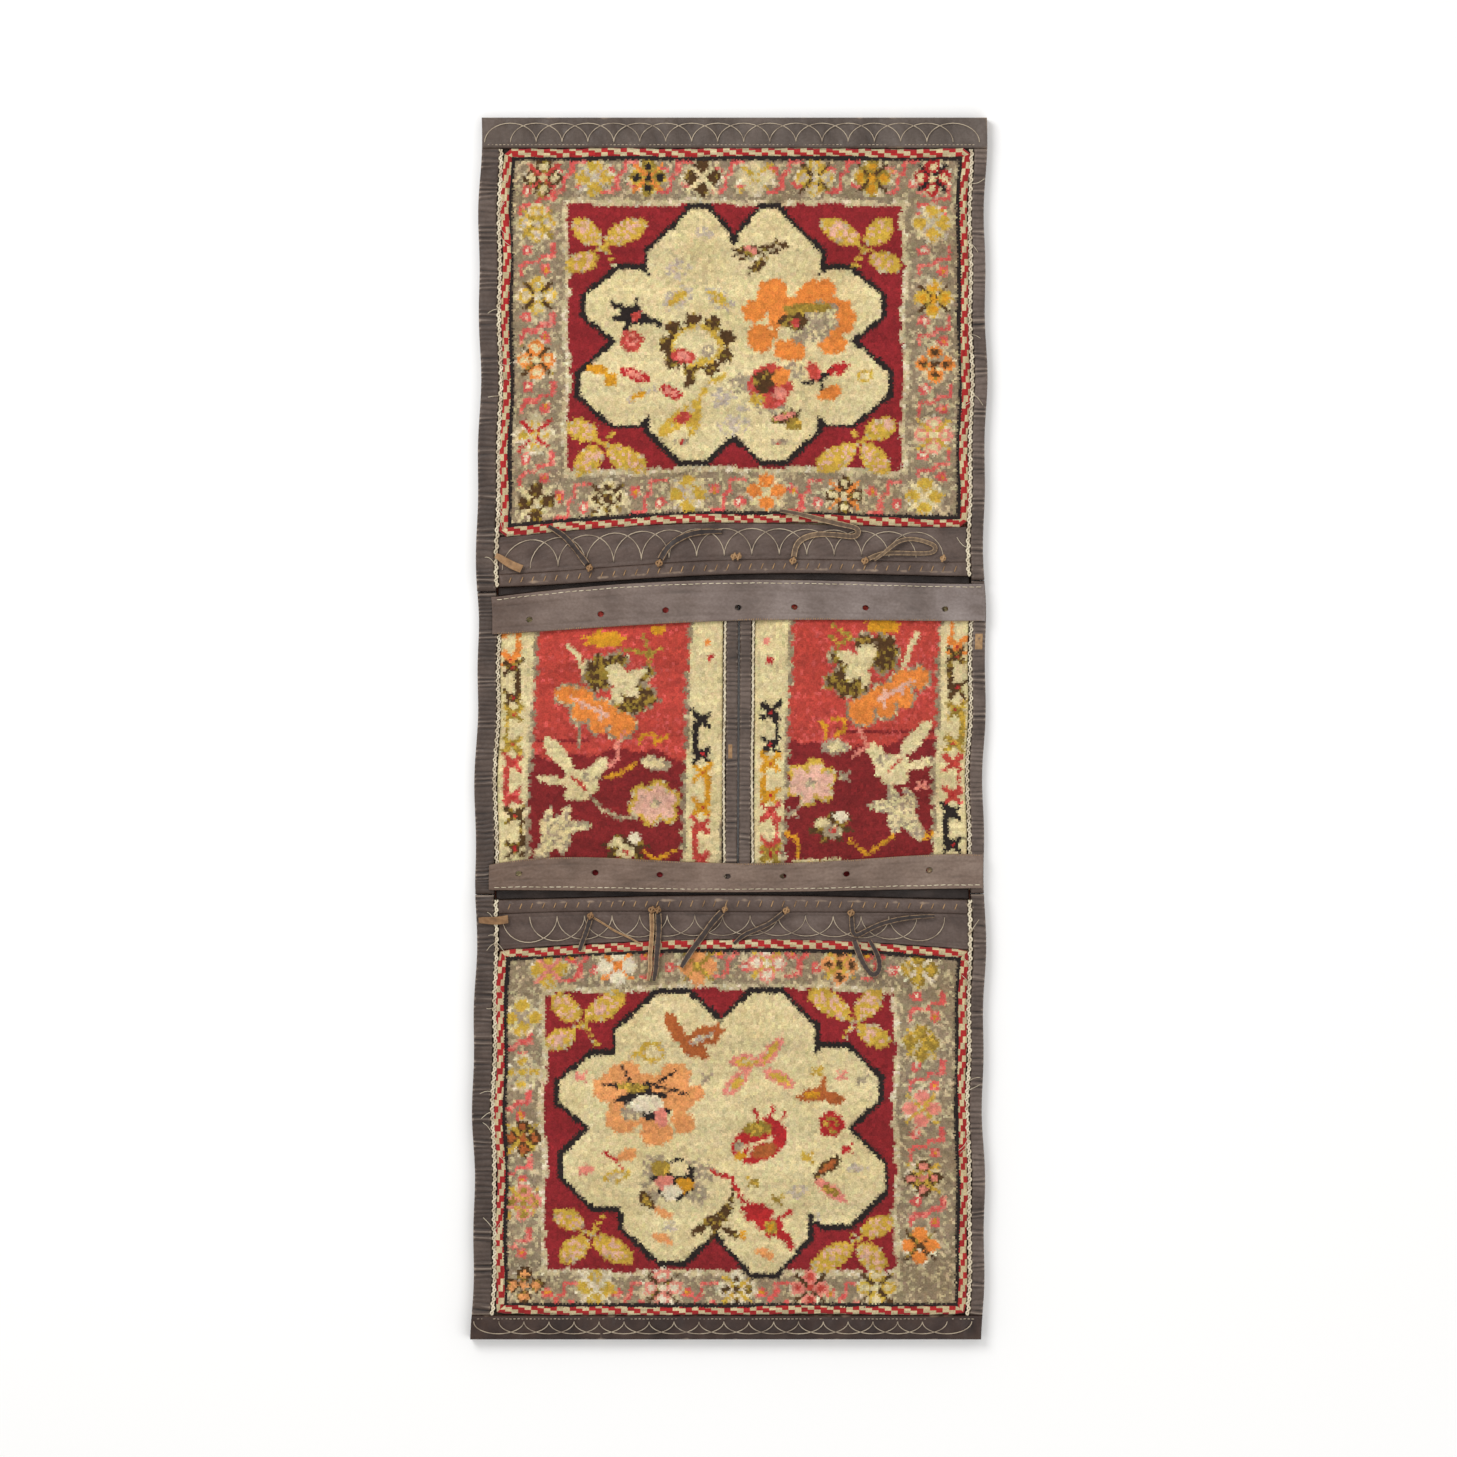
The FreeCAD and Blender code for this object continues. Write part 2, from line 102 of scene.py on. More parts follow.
MIXED = {
    BROWN: (OLIVE, 0.14), GREY: (CREAM, 0.3), LILAC: (CREAM, 0.4),
    STONE: (SAND, 0.22), GOLD: (SAND, 0.16), OLIVE: (GOLD, 0.25),
    VINE: (ROSE, 0.2), CORAL: (VINE, 0.12), SAND: (WHITE, 0.2),
}


def as_linear(colour: Sequence[float]) -> Array:
    """Turns a colour from 0 to 255 into linear light.

    Args:
        colour: red, green and blue.

    Returns:
        The three values in linear light, from 0 to 1.
    """
    share = np.array(colour, dtype=float) / 255
    return np.where(share > 0.04045, ((share + 0.055) / 1.055) ** 2.4, share / 12.92)


class Shader:
    """A surface under construction: its principled node and the maker's few patterns."""

    def __init__(self, name: str) -> None:
        """Starts an empty material of that name."""
        self.material = bpy.data.materials.new(name)
        self.material.use_nodes = True
        self.nodes = self.material.node_tree.nodes
        self.links = self.material.node_tree.links
        self.surface = self.nodes["Principled BSDF"]
        self.place = self.nodes.new("ShaderNodeTexCoord").outputs["Object"]

    def set(self, **values: float) -> None:
        """Sets plain numbers on the surface's own sockets."""
        for name, value in values.items():
            self.surface.inputs[name.replace("_", " ")].default_value = value

    def noise(self, size: float, stretch: Colour = (1, 1, 1), detail: float = 3) -> Socket:
        """An uneven pattern.

        Args:
            size: the length of one patch in millimetres.
            stretch: how much shorter the patches are along X, Y and Z.
            detail: how many finer layers it has.

        Returns:
            The pattern's value, about a half.
        """
        mapping = self.nodes.new("ShaderNodeMapping")
        mapping.inputs["Scale"].default_value = [1 / (size * MM) * s for s in stretch]
        self.links.new(self.place, mapping.inputs["Vector"])
        pattern = self.nodes.new("ShaderNodeTexNoise")
        pattern.inputs["Scale"].default_value = 1
        pattern.inputs["Detail"].default_value = detail
        self.links.new(mapping.outputs["Vector"], pattern.inputs["Vector"])
        return pattern.outputs["Fac"]

    def cells(self, size: float) -> Socket:
        """The pebbled grain of a hide, each pebble of a size in millimetres."""
        pattern = self.nodes.new("ShaderNodeTexVoronoi")
        pattern.inputs["Scale"].default_value = 1 / (size * MM)
        self.links.new(self.place, pattern.inputs["Vector"])
        return pattern.outputs["Distance"]

    def stripes(self, axis: str, pitch: float, bend: float = 1.0) -> Socket:
        """Bands across an axis, with a pitch in millimetres."""
        pattern = self.nodes.new("ShaderNodeTexWave")
        pattern.bands_direction = axis
        pattern.inputs["Scale"].default_value = 0.314 / (pitch * MM)
        pattern.inputs["Distortion"].default_value = bend
        self.links.new(self.place, pattern.inputs["Vector"])
        return pattern.outputs["Fac"]

    def shades(self, amount: Socket, *stops: tuple[float, Sequence[float]]) -> Socket:
        """Colours laid out along a pattern's value.

        Args:
            amount: the pattern.
            stops: each colour, from 0 to 255, with the value where it is pure.

        Returns:
            The colour.
        """
        ramp = self.nodes.new("ShaderNodeValToRGB")
        points = ramp.color_ramp.elements
        while len(points) < len(stops):
            points.new(0.5)
        for point, (where, colour) in zip(points, stops):
            point.position = where
            point.color = (*as_linear(colour), 1)
        self.links.new(amount, ramp.inputs["Fac"])
        return ramp.outputs["Color"]

    def ranged(self, amount: Socket, least: float, most: float, low: float = 0, high: float = 1) -> Socket:
        """A value that runs from least to most, laid out from low to high."""
        node = self.nodes.new("ShaderNodeMapRange")
        for name, value in zip(("From Min", "From Max", "To Min", "To Max"), (least, most, low, high)):
            node.inputs[name].default_value = value
        self.links.new(amount, node.inputs["Value"])
        return node.outputs["Result"]

    def times(self, first: Socket, second: Socket) -> Socket:
        """One colour multiplied by another."""
        mix = self.nodes.new("ShaderNodeMix")
        mix.data_type = "RGBA"
        mix.blend_type = "MULTIPLY"
        mix.inputs["Factor"].default_value = 1
        self.links.new(first, mix.inputs["A"])
        self.links.new(second, mix.inputs["B"])
        return mix.outputs["Result"]

    def across(self) -> Socket:
        """How far a place is from the bag's left side to its right, from 0 to 1."""
        split = self.nodes.new("ShaderNodeSeparateXYZ")
        self.links.new(self.place, split.inputs["Vector"])
        return self.ranged(split.outputs["X"], -0.26, 0.26)

    def over(self, base: Socket, colour: Colour, amount: Socket) -> Socket:
        """A plain colour laid over another as far as a pattern says."""
        mix = self.nodes.new("ShaderNodeMix")
        mix.data_type = "RGBA"
        self.links.new(amount, mix.inputs["Factor"])
        self.links.new(base, mix.inputs["A"])
        mix.inputs["B"].default_value = (*as_linear(colour), 1)
        return mix.outputs["Result"]

    def attribute(self, name: str) -> Socket:
        """The colour that a piece's own mesh carries."""
        node = self.nodes.new("ShaderNodeAttribute")
        node.attribute_name = name
        return node.outputs["Color"]

    def colour(self, source: Socket) -> None:
        """Gives the surface its colour."""
        self.links.new(source, self.surface.inputs["Base Color"])

    def roughness(self, source: Socket) -> None:
        """Gives the surface its roughness."""
        self.links.new(source, self.surface.inputs["Roughness"])

    def bumps(self, *layers: tuple[Socket, float]) -> None:
        """Small relief, each pattern with its depth in millimetres."""
        last = None
        for pattern, depth in layers:
            bump = self.nodes.new("ShaderNodeBump")
            bump.inputs["Distance"].default_value = depth * MM
            bump.inputs["Strength"].default_value = 1
            self.links.new(pattern, bump.inputs["Height"])
            if last:
                self.links.new(last, bump.inputs["Normal"])
            last = bump.outputs["Normal"]
        self.links.new(last, self.surface.inputs["Normal"])


@dataclass(frozen=True)
class Leather:
    """Old vegetable-tanned leather, dark where it is greasy, darkened in its folds as painted shade, and pale
    where it has rubbed.
    """

    name: str
    dark: Colour
    tint: Colour
    worn: Colour
    rub: Colour = (150, 128, 108)
    # The grey that the deepest folds are darkened to, as painted shade.
    fold: int = 168
    left: Colour = (238, 230, 224)
    grain: float = 1.1
    least_rough: float = 0.45
    most_rough: float = 0.7

    def material(self) -> bpy.types.Material:
        """Builds the leather's material."""
        shader = Shader(self.name)
        cloudy = shader.noise(38, detail=6)
        fine = shader.noise(2.4, stretch=(0.8, 1, 1), detail=5)
        tone = shader.shades(cloudy, (0.25, self.dark), (0.5, self.tint), (0.75, self.worn))
        streaks = shader.shades(fine, (0.3, (226, 223, 220)), (0.7, (255, 255, 255)))
        sides = shader.shades(shader.across(), (0.0, self.left), (1.0, (255, 255, 255)))
        # Painted shade: a low wear value, deep in a fold, darkens the leather towards the fold grey; a high
        # one, on a rubbed ridge, pales it.
        wear = shader.attribute("wear")
        folds = shader.shades(
            wear, (0.0, (self.fold, self.fold, self.fold)), (0.4, (236, 233, 230)), (0.6, (255, 255, 255)))
        rubbed = shader.shades(wear, (0.74, (0, 0, 0)), (0.98, (255, 255, 255)))
        base = shader.times(shader.times(tone, streaks), shader.times(folds, sides))
        shader.colour(shader.over(base, self.rub, rubbed))
        shader.set(Specular_IOR_Level=0.4)
        shader.roughness(shader.ranged(shader.noise(14), 0.3, 0.7, self.least_rough, self.most_rough))
        shader.bumps((shader.noise(8, stretch=(0.8, 1, 1), detail=6), 0.5), (shader.cells(self.grain), 0.16))
        return shader.material


@dataclass(frozen=True)
class PileWool:
    """Cut pile: the colour of each knot, with the fleck and sheen of its fibres."""

    name: str
    attribute: str = "dye"

    def material(self) -> bpy.types.Material:
        """Builds the pile's material."""
        shader = Shader(self.name)
        fleck = shader.shades(shader.noise(1.6, detail=4), (0.28, (218, 214, 208)), (0.62, (255, 255, 255)))
        dust = shader.shades(shader.noise(60, detail=2), (0.3, (242, 238, 230)), (0.7, (255, 255, 255)))
        shader.colour(shader.times(shader.times(shader.attribute(self.attribute), fleck), dust))
        shader.set(Roughness=0.95, Specular_IOR_Level=0.15, Sheen_Weight=0.12, Sheen_Roughness=0.6)
        shader.bumps((shader.noise(5), 0.8), (shader.noise(0.9, detail=2), 0.35))
        return shader.material


@dataclass(frozen=True)
class FlatWeave:
    """Striped flat-woven cloth with its ribs."""

    name: str
    ground: Colour
    stripe: Colour
    line: Colour

    def material(self) -> bpy.types.Material:
        """Builds the cloth's material."""
        shader = Shader(self.name)
        broad = shader.stripes("Y", 64, 0.4)
        bands = shader.shades(
            broad, (0.0, self.stripe), (0.28, self.stripe), (0.32, self.line), (0.38, self.ground),
            (0.8, self.ground), (0.84, self.line), (0.9, self.stripe))
        wear = shader.shades(shader.noise(22, detail=5), (0.3, (206, 200, 192)), (0.7, (255, 255, 255)))
        shader.colour(shader.times(bands, wear))
        shader.set(Roughness=0.92, Specular_IOR_Level=0.2)
        shader.bumps((shader.stripes("X", 2.2, 0.6), 0.35), (shader.stripes("Y", 1.3, 0.6), 0.3))
        return shader.material


@dataclass(frozen=True)
class Thread:
    """Twisted linen or goat-hair thread."""

    name: str
    tint: Colour
    soiled: Colour

    def material(self) -> bpy.types.Material:
        """Builds the thread's material."""
        shader = Shader(self.name)
        shader.colour(shader.shades(shader.noise(9, detail=4), (0.35, self.soiled), (0.6, self.tint)))
        shader.set(Roughness=0.85, Specular_IOR_Level=0.25)
        shader.bumps((shader.noise(0.8), 0.3))
        return shader.material


class Finish(Enum):
    """Every finish of the bag, with a slot name whose second word ends the name of each piece made of it."""

    PILE = ("wool_pile", PileWool("knotted_wool"))
    CORD_WOOL = ("edge_wool", PileWool("twined_edge_wool"))
    CLOTH = ("flat_weave", FlatWeave("striped_cloth", (112, 66, 52), (70, 58, 52), (168, 150, 118)))
    BAND = ("bridle_leather", Leather("band_leather", (78, 63, 57), (97, 81, 74), (113, 98, 91)))
    STRAP = ("bridle_leather", Leather(
        "strap_leather", (118, 105, 100), (137, 125, 121), (156, 145, 141), (172, 148, 122),
        left=(206, 188, 174)))
    LOWER_STRAP = ("bridle_leather", Leather(
        "lower_strap_leather", (108, 90, 78), (130, 110, 98), (148, 129, 116), (172, 148, 122)))
    END = ("bridle_leather", Leather("end_leather", (80, 69, 63), (96, 85, 78), (114, 102, 95)))
    LOWER_END = ("bridle_leather", Leather("lower_end_leather", (44, 29, 24), (60, 42, 35), (80, 61, 51)))
    # Painted shade: the side leather's folds darken to grey 58, deep between its pleats.
    GUSSET = ("gusset_leather", Leather(
        "side_leather", (74, 61, 54), (100, 85, 77), (126, 110, 101), (150, 134, 120), 58,
        left=(206, 200, 196), grain=0.9))
    # Painted shade: a near-black leather laid in the fold's gap, standing for the shade there.
    FOLD = ("gusset_leather", Leather("fold_leather", (40, 30, 27), (56, 44, 40), (76, 62, 56), (98, 82, 70)))
    LACE = ("thong_leather", Leather(
        "lace_leather", (42, 34, 32), (62, 50, 46), (86, 70, 61), (150, 122, 92), 110))
    PALE_LACE = ("thong_leather", Leather(
        "pale_lace_leather", (84, 68, 55), (112, 92, 73), (142, 118, 90), (180, 150, 114), 110))
    TAN = ("flesh_leather", Leather(
        "tan_leather", (128, 96, 64), (164, 128, 88), (190, 154, 112), (204, 172, 130), 130))
    LINEN = ("linen_thread", Thread("cream_linen", (224, 212, 186), (184, 168, 142)))
    DARK_THREAD = ("linen_thread", Thread("soiled_linen", (186, 170, 148), (140, 124, 108)))
    TAN_THREAD = ("linen_thread", Thread("tan_linen", (176, 142, 104), (128, 100, 74)))

    def material(self) -> bpy.types.Material:
        """The finish's material, made once."""
        recipe = self.value[1]
        return bpy.data.materials.get(recipe.name) or recipe.material()


# Places and lie.

@dataclass(frozen=True)
class Span:
    """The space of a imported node, in millimetres."""

    left: float
    low: float
    bottom: float
    right: float
    high: float
    top: float

    @classmethod
    def of(cls, node: str) -> "Span":
        """Reads a node's box from the frame."""
        least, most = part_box(node)
        return cls(*(value / MM for value in (*least, *most)))

    def flat(self) -> Place:
        """Its width and length in metres, as a sheet is cut."""
        return (self.right - self.left) * MM, (self.high - self.low) * MM


@dataclass(frozen=True)
class WavyLine:
    """A line across the bag that was cut straight and wavers as the bag lies."""

    straight: float
    places: tuple[Place, ...]

    def shift(self, x: Array) -> Array:
        """How far the line lies from where it was cut, at each x."""
        across, along = zip(*self.places)
        curve = np.polynomial.Polynomial.fit(across, along, min(4, len(across) - 1))
        return curve(np.clip(x, across[0], across[-1])) - self.straight


@dataclass(frozen=True)
class StillLine:
    """A line that lies as it was cut."""

    straight: float

    def shift(self, x: Array) -> Array:
        """No shift anywhere."""
        return np.zeros_like(x)


class Lie:
    """How the old bag lies: its long edges lean and waver, and its leather bands sag."""

    lean = 3.0
    spread = 1.5
    half_length = 642.0

    def __init__(self) -> None:
        """Sets out the wavy lines, each against the piece that it bounds."""
        upper_strap = Span.of("upper_strap")
        lower_strap = Span.of("lower_strap")
        upper_lip = Span.of("upper_lip")
        lower_lip = Span.of("lower_lip")
        upper_band = Span.of("upper_mouth_band")
        lower_band = Span.of("lower_mouth_band")
        self.lines = (
            StillLine(-700),
            StillLine(-430),
            WavyLine(lower_band.low, ((-237, -232), (-161, -227), (-73, -223), (115, -223.5), (244, -232))),
            WavyLine(lower_lip.low, ((-240, -195), (-120, -192), (0, -192.5), (120, -193), (248, -195))),
            WavyLine(lower_lip.high, ((-240, -180), (-90, -176.5), (10, -175.5), (120, -177), (248, -180))),
            WavyLine(lower_strap.low, ((-250, -170), (-90, -171.5), (10, -172), (120, -170.5), (262, -168))),
            WavyLine(lower_strap.high, (
                (-257, -146), (-235, -138), (-143, -136), (-55, -140), (10, -142), (79, -139), (170, -136),
                (262, -132))),
            StillLine(0),
            WavyLine(upper_strap.low, ((-250, 99), (-140, 106), (-2, 113), (130, 114), (265, 113))),
            WavyLine(upper_strap.high, (
                (-246, 138.5), (-143, 150), (-73, 153.5), (-2, 156.5), (79, 156), (144, 154), (260, 152))),
            WavyLine(upper_lip.low, (
                (-244, 149), (-188, 151), (-90, 158), (10, 162), (79, 163.4), (247, 160))),
            WavyLine(upper_lip.high, (
                (-244, 162), (-144, 168), (-73, 174), (10, 177), (79, 178), (250, 175))),
            WavyLine(upper_band.high, (
                (-242, 201), (-175, 207.5), (-73, 214), (10, 216), (135, 213), (244, 212))),
            StillLine(430),
            StillLine(700),
        )

    def __call__(self, points: Array) -> Array:
        """Moves points from the bag as cut to the bag as it lies.

        Args:
            points: places in millimetres, one row each.

        Returns:
            The same points, moved in X and Y.
        """
        x, y, z = points.T
        straight = np.array([line.straight for line in self.lines])
        shifts = np.array([line.shift(x) for line in self.lines])
        after = np.clip(np.searchsorted(straight, y), 1, len(straight) - 1)
        share = (y - straight[after - 1]) / (straight[after] - straight[after - 1])
        each = np.arange(len(x))
        moved = shifts[after - 1, each] * (1 - share) + shifts[after, each] * share
        waver = 1.3 * np.sin(y / 47) + 0.9 * np.sin(y / 19 + 1)
        edge = np.abs(x) / 260
        leaning = (self.lean - self.spread * x / 260) * y / self.half_length
        return np.column_stack((x + leaning + waver * edge ** 2, y + moved, z))


@dataclass(frozen=True)
class Ripple:
    """Soft uneven waves: a dozen sines whose lengths and headings differ a little."""

    height: float
    shortest: float
    longest: float
    heading: float = 0.0
    spread: float = 180.0
    seed: int = 1
    count: int = 14

    def __call__(self, x: Array, y: Array) -> Array:
        """The height of the waves at each place, in millimetres."""
        dice = np.random.default_rng(self.seed)
        total = np.zeros_like(x)
        for _ in range(self.count):
            length = dice.uniform(self.shortest, self.longest)
            way = np.radians(self.heading + dice.uniform(-self.spread, self.spread))
            phase = dice.uniform(0, 6.28)
            total += np.sin(6.283 * (x * np.cos(way) + y * np.sin(way)) / length + phase)
        return self.height * total / np.sqrt(self.count)


@dataclass(frozen=True)
class Pleats:
    """Close puckers across a leather edge, drawn up by its thread."""

    height: float
    pitch: float
    seed: int

    def __call__(self, x: Array, y: Array) -> Array:
        """The height of the puckers at each place, in millimetres."""
        drift = Ripple(0.9, 18, 60, heading=90, spread=30, seed=self.seed)(x, y)
        depth = 0.65 + Ripple(0.3, 14, 50, heading=90, spread=20, seed=self.seed + 1)(x, y)
        puckers = np.abs(np.sin(3.1416 * y / self.pitch + drift)) - 0.6
        return self.height * np.clip(depth, 0.15, 1.2) * puckers


# The bench.

def deselect() -> None:
    """Leaves nothing selected."""
    for chosen in bpy.context.selected_objects:
        chosen.select_set(False)


def take_up(*pieces: Piece) -> None:
    """Selects some pieces and nothing else, the first of them active."""
    deselect()
    for piece in pieces:
        piece.select_set(True)
    bpy.context.view_layer.objects.active = pieces[0]


def points_of(piece: Piece) -> Array:
    """A piece's points, one row each."""
    flat = np.empty(len(piece.data.vertices) * 3)
    piece.data.vertices.foreach_get("co", flat)
    return flat.reshape(-1, 3)


def face_middles(piece: Piece) -> Array:
    """The middle of each face of a piece, one row each."""
    flat = np.empty(len(piece.data.polygons) * 3)
    piece.data.polygons.foreach_get("center", flat)
    return flat.reshape(-1, 3)


def put_points(piece: Piece, points: Array) -> None:
    """Moves a piece's points to new places."""
    piece.data.vertices.foreach_set("co", points.ravel())
    piece.data.update()


def lines_between(low: float, high: float, step: float, rim: float = 0.0) -> Array:
    """Grid lines a step apart, drawn together where an edge rounds over.

    Args:
        low: the first line.
        high: the last line.
        step: the spacing inside.
        rim: the radius of the rounded edge.

    Returns:
        The places of the lines.
    """
    count = max(2, round((high - low - 2 * rim) / step) + 1)
    inside = np.linspace(low + rim, high - rim, count)
    if not rim:
        return inside
    turned = rim * (1 - np.cos(np.linspace(0, np.pi / 2, 5)))[:-1]
    return np.concatenate((low + turned, inside, (high - turned)[::-1]))


def set_wear_and_shade(piece: Piece, wear: Array) -> None:
    """Stores each point's wear value: 0 deep in a fold, where the leather paints shade, and 1 on a rubbed
    ridge.
    """
    layer = piece.data.attributes.get("wear") or piece.data.attributes.new("wear", "FLOAT", "POINT")
    layer.data.foreach_set("value", np.clip(wear, 0, 1).astype(np.float32))


def start_grid(name: str, columns: int, rows: int) -> Piece:
    """Adds a grid two units wide and opens it for editing, with all of it selected."""
    deselect()
    bpy.ops.mesh.primitive_grid_add(x_subdivisions=columns, y_subdivisions=rows, size=2)
    piece = bpy.context.object
    piece.name = name
    bpy.ops.object.mode_set(mode="EDIT")
    bpy.ops.mesh.select_all(action="SELECT")
    return piece


def close_grid(piece: Piece, columns: int, rows: int) -> tuple[Array, Array]:
    """Turns a grid's faces outward and ends its editing.

    Args:
        piece: the grid, with its sides and underside.
        columns: the number of faces across.
        rows: the number of faces along.

    Returns:
        Each point's column and row, and its height in whole units.
    """
    bpy.ops.mesh.select_all(action="SELECT")
    bpy.ops.mesh.normals_make_consistent(inside=False)
    bpy.ops.object.mode_set(mode="OBJECT")
    points = points_of(piece)
    places = np.rint((points[:, :2] + 1) / 2 * (columns, rows)).astype(int)
    return places, np.rint(points[:, 2]).astype(int)


def layered_grid(name: str, xs: Array, ys: Array) -> tuple[Piece, Array, Array]:
    """A closed slab whose top and underside are grids.

    Args:
        name: the piece's name.
        xs: the grid's lines across.
        ys: its lines along.

    Returns:
        The piece, and each point's column and row, and its layer: 0 below and 1 on top.
    """
    piece = start_grid(name, len(xs) - 1, len(ys) - 1)
    bpy.ops.mesh.extrude_region_move(TRANSFORM_OT_translate={"value": (0, 0, 1)})
    places, layers = close_grid(piece, len(xs) - 1, len(ys) - 1)
    set_wear_and_shade(piece, np.full(len(layers), 0.55))
    return piece, places, layers


def carpet_grid(name: str, columns: int, rows: int) -> tuple[Piece, Array, Array]:
    """A closed slab with a grid on top, plain sides and one face below.

    Args:
        name: the piece's name.
        columns: the number of faces across.
        rows: the number of faces along.

    Returns:
        The piece, and each point's column and row, and its layer: 0 below and 1 on top.
    """
    piece = start_grid(name, columns, rows)
    bpy.ops.mesh.region_to_loop()
    bpy.ops.mesh.extrude_edges_move(TRANSFORM_OT_translate={"value": (0, 0, -1)})
    bpy.ops.mesh.edge_face_add()
    places, heights = close_grid(piece, columns, rows)
    return piece, places, heights + 1


@dataclass
class Padding:
    """A slab of cloth or leather with rounded upper edges, as cut, before it lies."""

    name: str
    span: Span
    step_x: float = 4.0
    step_y: float = 4.0
    rim: float = 1.5
    relief: Callable[[Array, Array], Array] | None = None
    # How strongly the relief sets the wear value: painted shade in its troughs, rubbing on its crests.
    worn: float = 0.09
    rub: Callable[[Array, Array], Array] | None = None
    under: Callable[[Array, Array], Array] | None = None

    def build(self) -> Piece:
        """Makes the slab, in millimetres.

        Returns:
            The piece.
        """
        s = self.span
        xs = lines_between(s.left, s.right, self.step_x, self.rim)
        ys = lines_between(s.low, s.high, self.step_y, self.rim)
        piece, lines, layers = layered_grid(self.name, xs, ys)
        x = xs[lines[:, 0]]
        y = ys[lines[:, 1]]
        inward = np.minimum.reduce((x - s.left, s.right - x, y - s.low, s.high - y))
        near = np.clip(inward, 0, self.rim)
        fall = self.rim - np.sqrt(np.maximum(self.rim ** 2 - (self.rim - near) ** 2, 0))
        top = s.top - fall
        if self.relief:
            waves = self.relief(x, y)
            rubbed = self.rub(x, y) if self.rub else 0
            rim_wear = 0.22 * (1 - np.clip(inward / max(self.rim, 0.5), 0, 1))
            # Painted shade: the relief's troughs get a low wear value, which the leather darkens; its crests
            # a high one, rubbed pale.
            set_wear_and_shade(piece, 0.5 + self.worn * waves / (waves.std() + 0.01) + rubbed + rim_wear)
            top = top + waves * np.clip(inward / max(self.rim, 1), 0, 1)
        bottom = np.full_like(top, s.bottom)
        if self.under:
            bottom = bottom + self.under(x, y)
        z = np.where(layers == 1, np.maximum(top, bottom + 0.3), bottom)
        put_points(piece, np.column_stack((x, y, z)))
        return piece


def threads(name: str, runs: Iterable[Array], radius: float, sides: int = 2) -> Piece:
    """Round threads along several lines, joined in one piece.

    Args:
        name: the piece's name.
        runs: each thread's points, in millimetres.
        radius: the threads' radius.
        sides: the roundness, with eight faces round for two.

    Returns:
        The piece, in millimetres.
    """
    line = bpy.data.curves.new(name, "CURVE")
    line.dimensions = "3D"
    line.bevel_depth = radius
    line.bevel_resolution = sides - 1
    line.use_fill_caps = True
    for run in runs:
        spline = line.splines.new("POLY")
        spline.points.add(len(run) - 1)
        spline.points.foreach_set("co", np.column_stack((run, np.ones(len(run)))).ravel())
    piece = bpy.data.objects.new(name, line)
    bpy.context.collection.objects.link(piece)
    take_up(piece)
    bpy.ops.object.convert(target="MESH")
    bpy.ops.object.mode_set(mode="EDIT")
    bpy.ops.mesh.select_all(action="SELECT")
    bpy.ops.mesh.remove_doubles(threshold=radius * 0.02)
    bpy.ops.mesh.normals_make_consistent(inside=False)
    bpy.ops.object.mode_set(mode="OBJECT")
    set_wear_and_shade(piece, np.full(len(piece.data.vertices), 0.6))
    return bpy.context.object


def cut_away(piece: Piece, tools: Sequence[Piece]) -> None:
    """Cuts tools out of a piece and removes them."""
    for tool in tools:
        take_up(piece)
        cut = piece.modifiers.new("cut", "BOOLEAN")
        cut.operation = "DIFFERENCE"
        cut.object = tool
        bpy.ops.object.modifier_apply(modifier=cut.name)
        bpy.data.objects.remove(tool)


@dataclass
class Settling:
    """The last step for every piece: laid as the bag lies, dressed, and tied to its body unless it crosses a
    joint.
    """

    lie: Lie

    def __call__(
        self, piece: Piece, finish: Finish, nodes: Sequence[str], body: str,
        bend: tuple[str, Sequence[float], Sequence[float]] | None = None, lies: bool = True,
        sewn: bool = False,
    ) -> Piece:
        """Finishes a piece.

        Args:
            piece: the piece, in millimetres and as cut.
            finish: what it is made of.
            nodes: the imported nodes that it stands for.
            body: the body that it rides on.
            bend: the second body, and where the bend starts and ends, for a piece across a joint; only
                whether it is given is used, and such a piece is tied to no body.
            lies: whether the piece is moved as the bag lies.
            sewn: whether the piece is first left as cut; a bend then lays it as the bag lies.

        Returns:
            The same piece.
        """
        piece.name = f"{piece.name.split('.')[0]}_{finish.value[0].split('_')[1]}"
        cut = points_of(piece)
        laid = self.lie(cut) if lies else cut
        put_points(piece, (cut if sewn else laid) * MM)
        take_up(piece)
        bpy.ops.object.shade_smooth()
        piece.data.materials.clear()
        piece.data.materials.append(finish.material())
        if bend:
            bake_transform(piece)
            put_points(piece, laid * MM)
        else:
            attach(piece, body)
        if nodes:
            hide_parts(*nodes)
        log.info("%s: %d faces on %s", piece.name, len(piece.data.polygons), body)
        return piece


# The loom.

